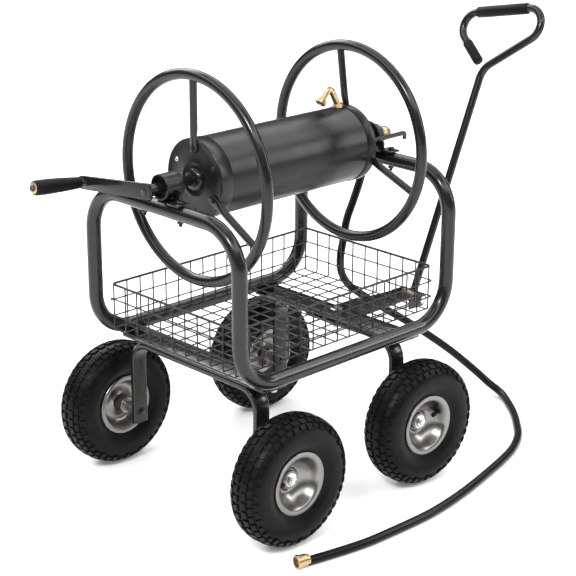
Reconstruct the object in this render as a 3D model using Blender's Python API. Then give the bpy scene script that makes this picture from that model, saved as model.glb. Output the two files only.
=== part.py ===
"""Garden hose reel cart: four pneumatic wheels, a steered axle with a pull handle,
a bent tube frame round a wire basket, and a crank driven hose drum on top.

Frame of reference: +X runs along the drum axis towards the pull handle, +Y to the far
side, +Z up, with the tyres standing on Z = 0.  All lengths in metres.  The dimensions
below count X from the middle of the tube frame; the finished cart is then shifted so
that the origin lies under the middle of its whole length.
"""
import math

import bmesh
import bpy
from mathutils import Matrix, Vector

for leftover in list(bpy.data.objects):
    bpy.data.objects.remove(leftover, do_unlink=True)

GAP = 0.0003
CART_MIDDLE_X = 0.1076

# Frame: one closed loop of bent tube, two top rails across, two bottom rails along.
FRAME_TUBE_R = 0.0143
FRAME_HALF_LENGTH = 0.279
FRAME_HALF_WIDTH = 0.2045
FRAME_TOP_Z = 0.604
FRAME_BOTTOM_Z = 0.3055
FRAME_BEND_R = 0.083
FRAME_SIDES = 10
FRAME_BEND_STEPS = 4

# Wheels: ten inch pneumatic tyres on four inch pressed rims.
WHEEL_R = 0.127
TYRE_HALF_WIDTH = 0.0397
TYRE_SEGMENTS = 24
TYRE_OUTER = [(0.0267, 0.0525), (0.0267, 0.0620), (TYRE_HALF_WIDTH, 0.0850), (0.0370, 0.1085),
              (0.0270, 0.1215), (0.0, WHEEL_R)]
TYRE_LINING = [(0.0195, 0.0525), (0.0225, 0.0640), (0.0335, 0.0900), (0.0190, 0.1185)]
RIM_SEGMENTS = 18
RIM_FLANGE_R = 0.0610
RIM_HALF_WIDTH = 0.0295
HUB_IN = -0.034
HUB_OUT = 0.004
HUB_R = 0.0175
HUB_BORE_R = 0.0083
RIM_BARREL = [(RIM_HALF_WIDTH, RIM_FLANGE_R), (0.0270, RIM_FLANGE_R), (0.0270, 0.0520), (0.0140, 0.0485)]
RIM_BACK = [(-RIM_HALF_WIDTH, 0.0500), (-0.0160, 0.0460), (-0.0130, 0.0400), (-0.0090, 0.0240),
            (-0.0120, HUB_R), (HUB_IN, HUB_R), (HUB_IN, HUB_BORE_R)]
RIM_BOWL = [(HUB_OUT, HUB_BORE_R), (HUB_OUT, HUB_R), (-0.0020, HUB_R + 0.0020), (-0.0020, 0.0240),
            (0.0030, 0.0330), (0.0120, 0.0420), (0.0220, 0.0465), (RIM_HALF_WIDTH, 0.0510)]
AXLE_R = 0.0078
AXLE_SHOULDER_R = 0.0115
AXLE_SIDES = 10
AXLE_HEAD_R = 0.0092
AXLE_HEAD_HEIGHT = 0.0035
AXLE_NUT_R = 0.0118
AXLE_NUT_HEIGHT = 0.0070
AXLE_TIP_R = 0.0055
AXLE_TIP_LENGTH = 0.0030
AXLE_CHAMFER = 0.0010
CRANK_AXLE_X = -0.2015
CRANK_HALF_TRACK = 0.2505
STEER_AXLE_X = 0.179
STEER_HALF_TRACK = 0.242
STEER_REST = math.radians(-3.4)

# Inner tube and its valve stem.
TUBE_CENTRE_R = 0.0875
TUBE_SECTION_R = 0.0270
TUBE_SEGMENTS = 16
TUBE_SECTION_SIDES = 6
VALVE_R = 0.0042
VALVE_HOLE_R = 0.0052
VALVE_SIDE_OFFSET = 0.0140
VALVE_INNER_RADIUS = 0.0270
VALVE_ANGLES = {"crank_far": 100.0, "crank_near": 175.0, "handle_far": 250.0, "handle_near": 18.0}

# Axle beams: flat bar bent to an inverted U, legs inside the wheels.
BEAM_WIDTH = 0.034
BEAM_THICKNESS = 0.012
BEAM_LEG_Y = 0.177
BEAM_LEG_BOTTOM_Z = 0.104
BEAM_BEND_R = 0.042
BEAM_BEND_STEPS = 6

# Cross plates under the bottom rails, and the bolts that hold them from below.
PLATE_THICKNESS = 0.005
PLATE_HALF_LENGTH = 0.2060
PLATE_TOP_Z = FRAME_BOTTOM_Z - FRAME_TUBE_R - GAP
CRANK_PLATE_FROM_X = -0.2200
CRANK_PLATE_TO_X = -0.1600
STEER_PLATE_FROM_X = 0.139
STEER_PLATE_TO_X = 0.206
RAIL_BOLT_X = 0.1900
RAIL_BOLT_Y = 0.1970
RAIL_BOLT_R = 0.0040
RAIL_BOLT_DEPTH = 0.0150
RAIL_BOLT_HEAD_R = 0.0070
RAIL_BOLT_HEAD_HEIGHT = 0.0050
RAIL_BOLT_SIDES = 8

# Steering: kingpin, tongue and thrust washer stack under the handle end plate.
KINGPIN_R = 0.0080
KINGPIN_HEAD_R = 0.0130
KINGPIN_HEAD_HEIGHT = 0.0070
KINGPIN_TIP_LENGTH = 0.0120
TONGUE_THICKNESS = 0.004
TONGUE_TOP_Z = PLATE_TOP_Z - PLATE_THICKNESS - GAP
TONGUE_FROM = -0.045
TONGUE_TO = 0.197
TONGUE_BACK_HALF_WIDTH = 0.045
TONGUE_FRONT_HALF_WIDTH = 0.0285
EAR_THICKNESS = 0.004
EAR_BELOW = 0.0150
EAR_ABOVE = 0.0150
EAR_REACH = 0.0160
EAR_LAP = 0.0120
DRILL_REACH = 0.0500

# Pull handle: stem, open triangular loop, grip.  Offsets are from the kingpin axis.
HANDLE_TUBE_R = 0.0083
HANDLE_PIVOT_OFFSET = 0.2207
HANDLE_PIVOT_Z = 0.2725
HANDLE_LEAN = math.radians(22.2)
HANDLE_SLEEVE_R = 0.0130
HANDLE_SLEEVE_HALF = 0.0238
HANDLE_BOLT_R = 0.0050
HANDLE_BOLT_HEAD_R = 0.0085
HANDLE_BOLT_HEAD_HEIGHT = 0.0060
HANDLE_STEM_LENGTH = 0.505
HANDLE_LOOP_CENTRE = 0.6335
HANDLE_ARM_TOP = (0.219, 0.043)
HANDLE_FAR_TOP = (-0.133, -0.0275)
HANDLE_FREE_END = (-0.0180, -0.1140)
HANDLE_CAP_LENGTH = 0.0560
HANDLE_CAP_WALL = 0.0022
HANDLE_CAP_END = 0.0035
HANDLE_BEND_R = 0.033
HANDLE_ARM_BEND_R = 0.035
HANDLE_NECK_R = 0.045
HANDLE_SIDES = 10
GRIP_THICKNESS = 0.0030
GRIP_FROM = -0.058
GRIP_TO = 0.072

# Reel: drum, end discs, hoops with spokes.
REEL_Z = 0.643
DRUM_R = 0.0746
DRUM_WALL = 0.0025
DRUM_FROM_X = -0.1967
DRUM_TO_X = 0.2012
DRUM_SEGMENTS = 28
DISC_THICKNESS = 0.004
DISC_LIP = 0.0100
DISC_EDGE = 0.0015
HOOP_R = 0.1927
HOOP_TUBE_R = 0.0107
HOOP_SEGMENTS = 32
HOOP_SIDES = 8
SPOKE_R = 0.0073
SPOKE_SIDES = 8
SPOKE_FOOT_R = 0.0790
TAB_FROM_R = 0.0910
TAB_TO_R = 0.0500
TAB_HALF_WIDTH = 0.0080
TAB_THICKNESS = 0.0035
TAB_BOLT_R = 0.0050
TAB_BOLT_HEIGHT = 0.0035
TAB_BOLT_AT_R = 0.0600
CRANK_HOOP_PHASE = math.radians(90)
INLET_HOOP_PHASE = math.radians(82)

# Shafts, bearings and brackets.
SHAFT_R = 0.0095
SHAFT_COLLAR_R = 0.0225
SHAFT_COLLAR_WIDTH = 0.0060
SHAFT_COLLAR_CHAMFER = 0.0030
SHAFT_END_R = 0.0066
SHAFT_INNER_LENGTH = 0.020
INLET_SHAFT_INNER_LENGTH = 0.0080
INLET_SHAFT_R = 0.0110
INLET_SHAFT_BORE_R = 0.0070
INLET_SHAFT_TO_X = 0.2885
HOUSING_R = 0.0243
HOUSING_BORE_R = 0.0203
HOUSING_WEB = 0.0130
HOUSING_RECESS = 0.0120
HOUSING_LENGTH = 0.0400
HOUSING_CRANK_X = -0.2850
HOUSING_INLET_X = 0.2465
BRACKET_HALF_WIDTH = 0.0440
BRACKET_THICKNESS = 0.0040
BRACKET_TOP_Z = REEL_Z + 0.0300
BRACKET_ARCH_R = HOUSING_R + 0.0100
BRACKET_ARCH_LIFT = 0.0040
BRACKET_ARCH_STEPS = 8
BRACKET_SLOT_STOP = 0.0080
BRACKET_DRILL = 0.0200
BRACKET_FOOT_HALF_WIDTH = 0.0600
BRACKET_FOOT_LENGTH = 0.0280
BRACKET_BOLT_Y = 0.0500
CRADLE_OFFSET = 0.0152
CRADLE_HALF_WIDTH = 0.0340
CRADLE_DROP = 0.0160
CRADLE_BELOW_AXIS = 0.0060
BRACKET_BOLT_R = 0.0035
BRACKET_BOLT_HEAD_R = 0.0062
BRACKET_BOLT_HEAD_HEIGHT = 0.0045
BRACKET_BOLT_END_Z = FRAME_TOP_Z - FRAME_TUBE_R - 0.0090

# Crank.
ARM_THICKNESS = 0.0060
ARM_HALF_HEIGHT = 0.0150
ARM_GRIP_HALF_HEIGHT = 0.0128
ARM_HUB_REACH = 0.0165
ARM_HUB_CORNER = 0.0040
ARM_GRIP_Y = 0.1820
ARM_GRIP_Z = REEL_Z - 0.0205
ARM_X = -0.3150
CRANK_GRIP_LENGTH = 0.1040
CRANK_GRIP_TILT = math.radians(5)
SPINDLE_HEAD_GAP = 0.0012
CRANK_GRIP_SIDES = 16
CRANK_GRIP_CLEAR = 0.0035
CRANK_GRIP_SHAPE = [(0.0, 0.0115), (0.012, 0.0120), (0.045, 0.0137), (0.085, 0.0147), (0.100, 0.0142),
                    (CRANK_GRIP_LENGTH, 0.0125)]
CRANK_NUT_R = 0.0085
CRANK_NUT_HEIGHT = 0.0055
GRIP_SPINDLE_R = 0.0045
SPINDLE_HEAD_R = 0.0080
SPINDLE_HEAD_HEIGHT = 0.0050
SPINDLE_WASHER_R = 0.0115
SPINDLE_WASHER = 0.0030
SPINDLE_TIP_R = 0.0065
SPINDLE_TIP = 0.0070

# Inlet swivel, lock pin, outlet and feed pipe.
SWIVEL_R = 0.0145
SWIVEL_FROM_X = INLET_SHAFT_TO_X + GAP
SWIVEL_TO_X = 0.3230
SWIVEL_NECK = (0.0080, 0.0095, 0.0110)
SWIVEL_TAPER = 0.0050
SWIVEL_SPOUT_X = 0.3090
SWIVEL_SPOUT_R = 0.0095
SWIVEL_SPOUT_END = (0.3090, 0.0250, 0.6150)
LOCK_PIN_HALF_HEIGHT = 0.0045
LOCK_PIN_HALF_THICKNESS = 0.0020
LOCK_PIN_Y = -0.0330
LOCK_PIN_Z = 0.6455
LOCK_PIN_FROM_X = 0.2125
LOCK_PIN_TO_X = 0.3370
LOCK_PIN_DROP = 0.0130
LOCK_PIN_BEND_R = 0.0055
LOCK_PIN_BEND_STEPS = 4
LOCK_SLOT_R = 0.0056
OUTLET_ANGLE = 0.0
OUTLET_X = 0.1740
OUTLET_TUBE_R = 0.0065
OUTLET_APEX_X = 0.1500
OUTLET_APEX_R = 0.1190
OUTLET_NUT_X = 0.1260
OUTLET_NUT_AT_R = 0.0930
OUTLET_NUT_R = 0.0110
OUTLET_NUT_LENGTH = 0.0100
OUTLET_BEND_R = 0.0090
OUTLET_FOOT_R = 0.0105
OUTLET_FOOT_LIFT = 0.0008
OUTLET_FOOT_HEIGHT = 0.0090
OUTLET_TUBE_LIFT = 0.0040
FEED_TUBE_R = 0.0065
FEED_BEND_R = 0.0125
FEED_FROM_X = DRUM_TO_X - 0.0085

# Basket: welded wire tray standing on the cross plates.
BASKET_FROM_X = -0.2620
BASKET_TO_X = 0.2640
BASKET_HALF_WIDTH = 0.1750
BASKET_BOTTOM_Z = 0.3170
BASKET_TOP_Z = 0.4120
BASKET_WIRE = 0.0036
BASKET_CELLS_LONG = 6
BASKET_CELLS_WIDE = 4
BASKET_CELLS_HIGH = 2

# Leader hose and its end fitting, lying from the swivel to the floor.
HOSE_R = 0.0086
HOSE_POINTS = 56
HOSE_STRAIGHT = 0.024
HOSE_STEPS = 24
FITTING_LENGTH = 0.026
FITTING_R = 0.0130
FITTING_SHAPE = [(0.0, 0.0), (0.0, 0.0098), (0.0060, 0.0098), (0.0060, 0.0112), (0.0190, 0.0112),
                 (0.0190, FITTING_R), (FITTING_LENGTH, FITTING_R), (FITTING_LENGTH, 0.0095),
                 (FITTING_LENGTH - 0.0100, 0.0095), (FITTING_LENGTH - 0.0100, 0.0)]


AXIS_X = Vector((1.0, 0.0, 0.0))
AXIS_Y = Vector((0.0, 1.0, 0.0))
AXIS_Z = Vector((0.0, 0.0, 1.0))
SMOOTH_ANGLE = math.radians(38)
FULL_TURN = 2.0 * math.pi


def finish_material(name, colour, metallic, roughness):
    """Return a Principled material of one base colour."""
    skin = bpy.data.materials.new(name)
    skin.use_nodes = True
    shader = skin.node_tree.nodes["Principled BSDF"]
    shader.inputs["Base Color"].default_value = (*colour, 1.0)
    shader.inputs["Metallic"].default_value = metallic
    shader.inputs["Roughness"].default_value = roughness
    return skin


FINISHES = {
    "powder_coat": ((0.060, 0.058, 0.056), 0.6, 0.38),
    "satin_black": ((0.025, 0.025, 0.025), 0.2, 0.42),
    "rubber": ((0.020, 0.020, 0.020), 0.0, 0.75),
    "zinc": ((0.62, 0.62, 0.60), 1.0, 0.35),
    "yellow_zinc": ((0.60, 0.48, 0.22), 1.0, 0.40),
    "brass": ((0.72, 0.52, 0.22), 1.0, 0.30),
    "foam": ((0.015, 0.015, 0.015), 0.0, 0.90),
    "wire": ((0.020, 0.020, 0.020), 0.1, 0.50),
    "hose": ((0.012, 0.012, 0.013), 0.0, 0.30),
    "wheel_zinc": ((0.55, 0.55, 0.53), 1.0, 0.30),
}


def build_object(name, verts, faces, finish, origin):
    """Make one closed object from world coordinates, with its origin where asked."""
    home = Vector(origin)
    mesh = bpy.data.meshes.new(name)
    mesh.from_pydata([tuple(Vector(v) - home) for v in verts], [], faces)
    work = bmesh.new()
    work.from_mesh(mesh)
    bmesh.ops.recalc_face_normals(work, faces=work.faces)
    work.to_mesh(mesh)
    work.free()
    obj = bpy.data.objects.new(name, mesh)
    obj.location = home
    bpy.context.scene.collection.objects.link(obj)
    mesh.materials.append(finish_material(name + "_finish", *FINISHES[finish]))
    shade(obj)
    return obj


def shade(obj):
    """Shade round faces smooth and keep real edges sharp."""
    for face in obj.data.polygons:
        face.use_smooth = True
    obj.data.set_sharp_from_angle(angle=SMOOTH_ANGLE)


def side_vectors(axis):
    """Two unit vectors square to an axis."""
    lead = AXIS_Z if abs(axis.z) < 0.9 else AXIS_X
    first = axis.cross(lead).normalized()
    return first, axis.cross(first).normalized()


def lathe(name, centre, axis, profile, segments, finish, origin=None):
    """Turn a profile of (along, radius) points round an axis.

    A profile that starts and ends on the axis gives a solid; one that stays off the
    axis is closed on itself and gives a ring."""
    base = Vector(centre)
    first, second = side_vectors(axis)
    verts = []
    rings = []
    for along, radius in profile:
        start = len(verts)
        if radius == 0.0:
            verts.append(base + axis * along)
            rings.append([start])
            continue
        for step in range(segments):
            turn = FULL_TURN * step / segments
            spoke = first * math.cos(turn) + second * math.sin(turn)
            verts.append(base + axis * along + spoke * radius)
        rings.append(list(range(start, start + segments)))
    pairs = list(zip(rings, rings[1:]))
    if len(rings[0]) > 1:
        pairs.append((rings[-1], rings[0]))
    faces = []
    for near, far in pairs:
        for step in range(segments):
            ahead = (step + 1) % segments
            if len(near) == 1:
                faces.append((near[0], far[step], far[ahead]))
            elif len(far) == 1:
                faces.append((near[step], near[ahead], far[0]))
            else:
                faces.append((near[step], near[ahead], far[ahead], far[step]))
    return build_object(name, verts, faces, finish, origin or centre)


def rod(name, start, end, radius, segments, finish, origin=None):
    """Plain round bar between two points."""
    begin = Vector(start)
    reach = Vector(end) - begin
    length = reach.length
    profile = [(0.0, 0.0), (0.0, radius), (length, radius), (length, 0.0)]
    return lathe(name, begin, reach.normalized(), profile, segments, finish, origin)


def box(name, low, high, finish, origin=None):
    """Block between two corners."""
    corners = [(x, y, z) for x in (low[0], high[0]) for y in (low[1], high[1])
               for z in (low[2], high[2])]
    faces = [(0, 1, 3, 2), (4, 6, 7, 5), (0, 4, 5, 1), (2, 3, 7, 6), (0, 2, 6, 4), (1, 5, 7, 3)]
    middle = (Vector(low) + Vector(high)) / 2.0
    return build_object(name, corners, faces, finish, origin or middle)


def prism(name, outline, axis, thickness, finish, origin):
    """Push a flat outline of world points along an axis."""
    count = len(outline)
    lift = axis * thickness
    verts = [Vector(p) for p in outline] + [Vector(p) + lift for p in outline]
    faces = [tuple(range(count)), tuple(range(count, 2 * count))]
    for step in range(count):
        ahead = (step + 1) % count
        faces.append((step, ahead, ahead + count, step + count))
    return build_object(name, verts, faces, finish, origin)


def round_corners(corners, radii, steps, closed=False):
    """Replace the corners of a bent line by arcs of the given radii."""
    points = []
    count = len(corners)
    for index, corner in enumerate(corners):
        here = Vector(corner)
        if not closed and index in (0, count - 1):
            points.append(here)
            continue
        back = (Vector(corners[index - 1]) - here).normalized()
        ahead = (Vector(corners[(index + 1) % count]) - here).normalized()
        half = back.angle(ahead) / 2.0
        trim = radii[index] / math.tan(half)
        centre = here + (back + ahead).normalized() * (radii[index] / math.sin(half))
        start = here + back * trim - centre
        end = here + ahead * trim - centre
        sweep = start.angle(end)
        for step in range(steps + 1):
            part = step / steps
            mixed = start * math.sin((1.0 - part) * sweep) + end * math.sin(part * sweep)
            points.append(centre + mixed / math.sin(sweep))
    return points


def sweep(name, path, section, finish, origin, closed=False, lead=None):
    """Carry a section of (side, up) points along a path without twisting it."""
    count = len(path)
    tangents = []
    for index in range(count):
        before = path[index - 1] if closed or index else path[0]
        after = path[(index + 1) % count] if closed or index < count - 1 else path[-1]
        tangents.append((after - before).normalized())
    side = lead or side_vectors(tangents[0])[0]
    sides = []
    for tangent in tangents:
        side = (side - tangent * side.dot(tangent)).normalized()
        sides.append(side)
    twist = 0.0
    if closed:
        last = (side - tangents[0] * side.dot(tangents[0])).normalized()
        twist = math.atan2(last.cross(sides[0]).dot(tangents[0]), last.dot(sides[0]))
    verts = []
    for index, point in enumerate(path):
        turn = Matrix.Rotation(twist * index / count, 3, tangents[index])
        across = turn @ sides[index]
        up = tangents[index].cross(across)
        stretch = mitre(path, index, closed)
        for u, v in section:
            verts.append(point + stretch @ (across * u + up * v))
    ring = len(section)
    faces = []
    last_span = count if closed else count - 1
    for index in range(last_span):
        near = index * ring
        far = ((index + 1) % count) * ring
        for step in range(ring):
            ahead = (step + 1) % ring
            faces.append((near + step, near + ahead, far + ahead, far + step))
    if not closed:
        faces.append(tuple(range(ring)))
        faces.append(tuple(range((count - 1) * ring, count * ring)))
    return build_object(name, verts, faces, finish, origin)


def mitre(path, index, closed):
    """Widen the section in the plane of a bend so its thickness holds."""
    if not closed and index in (0, len(path) - 1):
        return Matrix.Identity(3)
    back = (path[index] - path[index - 1]).normalized()
    ahead = (path[(index + 1) % len(path)] - path[index]).normalized()
    bend = back.angle(ahead)
    if bend < 1e-6:
        return Matrix.Identity(3)
    inward = (ahead - back).normalized()
    return Matrix.Scale(1.0 / math.cos(bend / 2.0), 3, inward)


def circle(radius, sides):
    """Round section of a tube."""
    return [(radius * math.cos(FULL_TURN * k / sides), radius * math.sin(FULL_TURN * k / sides))
            for k in range(sides)]


def combine(target, tool, operation):
    """Join or cut one object with another and drop the tool."""
    modifier = target.modifiers.new(operation.lower(), "BOOLEAN")
    modifier.operation = operation
    modifier.solver = "EXACT"
    modifier.object = tool
    tool.hide_render = True
    tool.display_type = "WIRE"
    graph = bpy.context.evaluated_depsgraph_get()
    result = bpy.data.meshes.new_from_object(target.evaluated_get(graph))
    kept = target.data.materials[0]
    target.modifiers.clear()
    target.data = result
    target.data.materials.clear()
    target.data.materials.append(kept)
    for face in target.data.polygons:
        face.material_index = 0
    bpy.data.objects.remove(tool, do_unlink=True)
    shade(target)
    return target


def join(target, tool):
    return combine(target, tool, "UNION")


def cut(target, tool):
    return combine(target, tool, "DIFFERENCE")


def drill(target, start, end, radius, segments=16):
    """Make a round hole between two points."""
    return cut(target, rod("drill", start, end, radius, segments, "zinc"))


def turn_with_steering(obj):
    """Set a part of the steering gear to the resting steering angle."""
    pin = Vector((STEER_AXLE_X, 0.0, 0.0))
    turn = Matrix.Rotation(STEER_REST, 3, "Z")
    obj.data.transform(turn.to_4x4())
    obj.location = pin + turn @ (obj.location - pin)
    return obj


def frame_loop():
    """The frame: one tube bent to a closed loop of eight corners."""
    corners = []
    length, width = FRAME_HALF_LENGTH, FRAME_HALF_WIDTH
    high, low = FRAME_TOP_Z, FRAME_BOTTOM_Z
    corners += [(-length, -width, high), (-length, -width, low)]
    corners += [(length, -width, low), (length, -width, high)]
    corners += [(length, width, high), (length, width, low)]
    corners += [(-length, width, low), (-length, width, high)]
    path = round_corners(corners, [FRAME_BEND_R] * len(corners), FRAME_BEND_STEPS, closed=True)
    loop = sweep("frame_loop", path, circle(FRAME_TUBE_R, FRAME_SIDES), "powder_coat",
                 (0.0, 0.0, FRAME_TOP_Z), closed=True)
    for x in (-FRAME_HALF_LENGTH, FRAME_HALF_LENGTH):
        for y in (-BRACKET_BOLT_Y, BRACKET_BOLT_Y):
            top = FRAME_TOP_Z + 2.0 * FRAME_TUBE_R
            drill(loop, (x, y, top), (x, y, FRAME_TOP_Z - 2.0 * FRAME_TUBE_R),
                  BRACKET_BOLT_R + GAP, 10)
    for x, y in rail_bolt_spots():
        blind_end = PLATE_TOP_Z + RAIL_BOLT_DEPTH + GAP
        drill(loop, (x, y, PLATE_TOP_Z - RAIL_BOLT_DEPTH), (x, y, blind_end), RAIL_BOLT_R + GAP,
              RAIL_BOLT_SIDES)
    return loop


def rail_bolt_spots():
    """Where the cross plates are bolted up into the bottom rails."""
    return [(x, y) for x in (-RAIL_BOLT_X, RAIL_BOLT_X) for y in (-RAIL_BOLT_Y, RAIL_BOLT_Y)]


def cross_plate(name, from_x, to_x):
    """Flat plate under both bottom rails, drilled for its bolts."""
    plate = box(name, (from_x, -PLATE_HALF_LENGTH, PLATE_TOP_Z - PLATE_THICKNESS),
                (to_x, PLATE_HALF_LENGTH, PLATE_TOP_Z), "powder_coat")
    for x, y in rail_bolt_spots():
        if from_x < x < to_x:
            drill(plate, (x, y, PLATE_TOP_Z + PLATE_THICKNESS),
                  (x, y, PLATE_TOP_Z - 2.0 * PLATE_THICKNESS), RAIL_BOLT_R + GAP, RAIL_BOLT_SIDES)
    return plate


def rail_bolt(name, x, y):
    """Bolt with its head under the cross plate and its shank up in the rail."""
    seat = PLATE_TOP_Z - PLATE_THICKNESS - GAP
    top = PLATE_TOP_Z + RAIL_BOLT_DEPTH
    profile = [(seat - RAIL_BOLT_HEAD_HEIGHT, 0.0), (seat - RAIL_BOLT_HEAD_HEIGHT, RAIL_BOLT_HEAD_R),
               (seat, RAIL_BOLT_HEAD_R), (seat, RAIL_BOLT_R), (top, RAIL_BOLT_R), (top, 0.0)]
    return lathe(name, (x, y, 0.0), AXIS_Z, profile, RAIL_BOLT_SIDES, "zinc", (x, y, seat))


def axle_beam(name, x, top_z):
    """Flat bar bent down at both ends, drilled for the wheel axles."""
    middle_z = top_z - BEAM_THICKNESS / 2.0
    corners = [(x, -BEAM_LEG_Y, BEAM_LEG_BOTTOM_Z), (x, -BEAM_LEG_Y, middle_z),
               (x, BEAM_LEG_Y, middle_z), (x, BEAM_LEG_Y, BEAM_LEG_BOTTOM_Z)]
    path = round_corners(corners, [0.0, BEAM_BEND_R, BEAM_BEND_R, 0.0], BEAM_BEND_STEPS)
    half_w, half_t = BEAM_WIDTH / 2.0, BEAM_THICKNESS / 2.0
    section = [(-half_w, -half_t), (half_w, -half_t), (half_w, half_t), (-half_w, half_t)]
    beam = sweep(name, path, section, "powder_coat", (x, 0.0, top_z), lead=AXIS_X)
    for side in (-1.0, 1.0):
        inner = side * (BEAM_LEG_Y - BEAM_THICKNESS)
        outer = side * (BEAM_LEG_Y + BEAM_THICKNESS)
        drill(beam, (x, inner, WHEEL_R), (x, outer, WHEEL_R), AXLE_R + GAP, 16)
    return beam


def mirrored(half):
    """Complete a profile of (offset, radius) points that runs up to the middle plane."""
    return half + [(-offset, radius) for offset, radius in reversed(half) if offset > 0.0]


def tyre(name, centre):
    """Pneumatic tyre with hollow inside and two beads."""
    skin = mirrored(TYRE_OUTER)
    lining = list(reversed(mirrored(TYRE_LINING)))
    return lathe(name, centre, AXIS_Y, skin + lining, TYRE_SEGMENTS, "rubber")


def rim(name, centre, outward, valve_angle):
    """Pressed rim with drop centre, deep smooth bowl, flat hub plate and hub tube."""
    profile = mirrored(RIM_BARREL) + RIM_BACK + RIM_BOWL
    turned = [(outward * offset, radius) for offset, radius in profile]
    body = lathe(name, centre, AXIS_Y, turned, RIM_SEGMENTS, "wheel_zinc")
    start, end = valve_line(centre, outward, valve_angle)
    return drill(body, start, end, VALVE_HOLE_R, 10)


def valve_line(centre, outward, valve_angle):
    """Axis of the valve stem, from inside the tube to inside the bowl."""
    radial = Vector((math.cos(valve_angle), 0.0, math.sin(valve_angle)))
    base = Vector(centre) + AXIS_Y * outward * VALVE_SIDE_OFFSET
    return base + radial * (TUBE_CENTRE_R - TUBE_SECTION_R * 0.5), base + radial * VALVE_INNER_RADIUS


def inner_tube(name, centre, outward, valve_angle):
    """Rubber inner tube with its valve stem."""
    profile = [(TUBE_SECTION_R * math.cos(FULL_TURN * k / TUBE_SECTION_SIDES),
                TUBE_CENTRE_R + TUBE_SECTION_R * math.sin(FULL_TURN * k / TUBE_SECTION_SIDES))
               for k in range(TUBE_SECTION_SIDES)]
    ring = lathe(name, centre, AXIS_Y, profile, TUBE_SEGMENTS, "rubber")
    start, end = valve_line(centre, outward, valve_angle)
    return join(ring, rod("valve", start, end, VALVE_R, 8, "rubber"))


def axle(name, centre, outward):
    """Wheel axle: low head inside the leg, shoulder, pin through the hub and nut outside."""
    from_leg = BEAM_LEG_Y - abs(centre[1])
    leg_in = from_leg - BEAM_THICKNESS / 2.0 - GAP
    leg_out = from_leg + BEAM_THICKNESS / 2.0 + GAP
    hub_in = HUB_IN - GAP
    hub_out = HUB_OUT + GAP
    tip = hub_out + AXLE_NUT_HEIGHT + AXLE_TIP_LENGTH
    profile = [(leg_in - AXLE_HEAD_HEIGHT, 0.0), (leg_in - AXLE_HEAD_HEIGHT, AXLE_HEAD_R - AXLE_CHAMFER),
               (leg_in, AXLE_HEAD_R), (leg_in, AXLE_R), (leg_out, AXLE_R), (leg_out, AXLE_SHOULDER_R),
               (hub_in, AXLE_SHOULDER_R), (hub_in, AXLE_R), (hub_out, AXLE_R),
               (hub_out, AXLE_NUT_R), (hub_out + AXLE_NUT_HEIGHT, AXLE_NUT_R - AXLE_CHAMFER),
               (hub_out + AXLE_NUT_HEIGHT, AXLE_TIP_R), (tip, AXLE_TIP_R - AXLE_CHAMFER), (tip, 0.0)]
    turned = [(outward * offset, radius) for offset, radius in profile]
    return lathe(name, centre, AXIS_Y, turned, AXLE_SIDES, "zinc")


def wheel(label, centre, outward):
    """One wheel and the axle it turns on."""
    angle = math.radians(VALVE_ANGLES[label])
    return [tyre("tyre_" + label, centre), rim("rim_" + label, centre, outward, angle),
            inner_tube("inner_tube_" + label, centre, outward, angle),
            axle("axle_bolt_" + label, centre, outward)]


def steering_tongue():
    """Plate bolted to the steered axle, running forward to two ears for the handle."""
    pivot_x = STEER_AXLE_X + HANDLE_PIVOT_OFFSET
    back, front = STEER_AXLE_X + TONGUE_FROM, STEER_AXLE_X + TONGUE_TO
    corners = [(back, TONGUE_BACK_HALF_WIDTH), (STEER_AXLE_X, TONGUE_BACK_HALF_WIDTH),
               (front, TONGUE_FRONT_HALF_WIDTH)]
    outline = [(x, -y, TONGUE_TOP_Z) for x, y in corners]
    outline += [(x, y, TONGUE_TOP_Z) for x, y in reversed(corners)]
    tongue = prism("steer_tongue", outline, -AXIS_Z, TONGUE_THICKNESS, "powder_coat",
                   (STEER_AXLE_X, 0.0, TONGUE_TOP_Z))
    for side in (-1.0, 1.0):
        inner = side * (TONGUE_FRONT_HALF_WIDTH - EAR_THICKNESS)
        outer = side * TONGUE_FRONT_HALF_WIDTH
        ear = box("ear", (front - EAR_LAP, min(inner, outer), HANDLE_PIVOT_Z - EAR_BELOW),
                  (pivot_x + EAR_REACH, max(inner, outer), HANDLE_PIVOT_Z + EAR_ABOVE), "zinc")
        join(tongue, ear)
    drill(tongue, (pivot_x, -DRILL_REACH, HANDLE_PIVOT_Z), (pivot_x, DRILL_REACH, HANDLE_PIVOT_Z),
          HANDLE_BOLT_R + GAP, 12)
    return drill_for_kingpin(tongue)


def drill_for_kingpin(target):
    """Hole for the kingpin through a plate or beam."""
    return drill(target, (STEER_AXLE_X, 0.0, TONGUE_TOP_Z + DRILL_REACH),
                 (STEER_AXLE_X, 0.0, TONGUE_TOP_Z - DRILL_REACH), KINGPIN_R + GAP)


def kingpin():
    """Bolt the steered axle turns on, head above the cross plate and nut below the beam."""
    top = PLATE_TOP_Z + GAP
    under = TONGUE_TOP_Z - TONGUE_THICKNESS - BEAM_THICKNESS - 2.0 * GAP
    profile = [(top + KINGPIN_HEAD_HEIGHT, 0.0), (top + KINGPIN_HEAD_HEIGHT, KINGPIN_HEAD_R),
               (top, KINGPIN_HEAD_R), (top, KINGPIN_R), (under, KINGPIN_R), (under, KINGPIN_HEAD_R),
               (under - KINGPIN_HEAD_HEIGHT, KINGPIN_HEAD_R),
               (under - KINGPIN_HEAD_HEIGHT, KINGPIN_R), (under - KINGPIN_TIP_LENGTH, KINGPIN_R * 0.8),
               (under - KINGPIN_TIP_LENGTH, 0.0)]
    return lathe("kingpin", (STEER_AXLE_X, 0.0, 0.0), AXIS_Z, profile, 16, "zinc",
                 (STEER_AXLE_X, 0.0, PLATE_TOP_Z))


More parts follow.
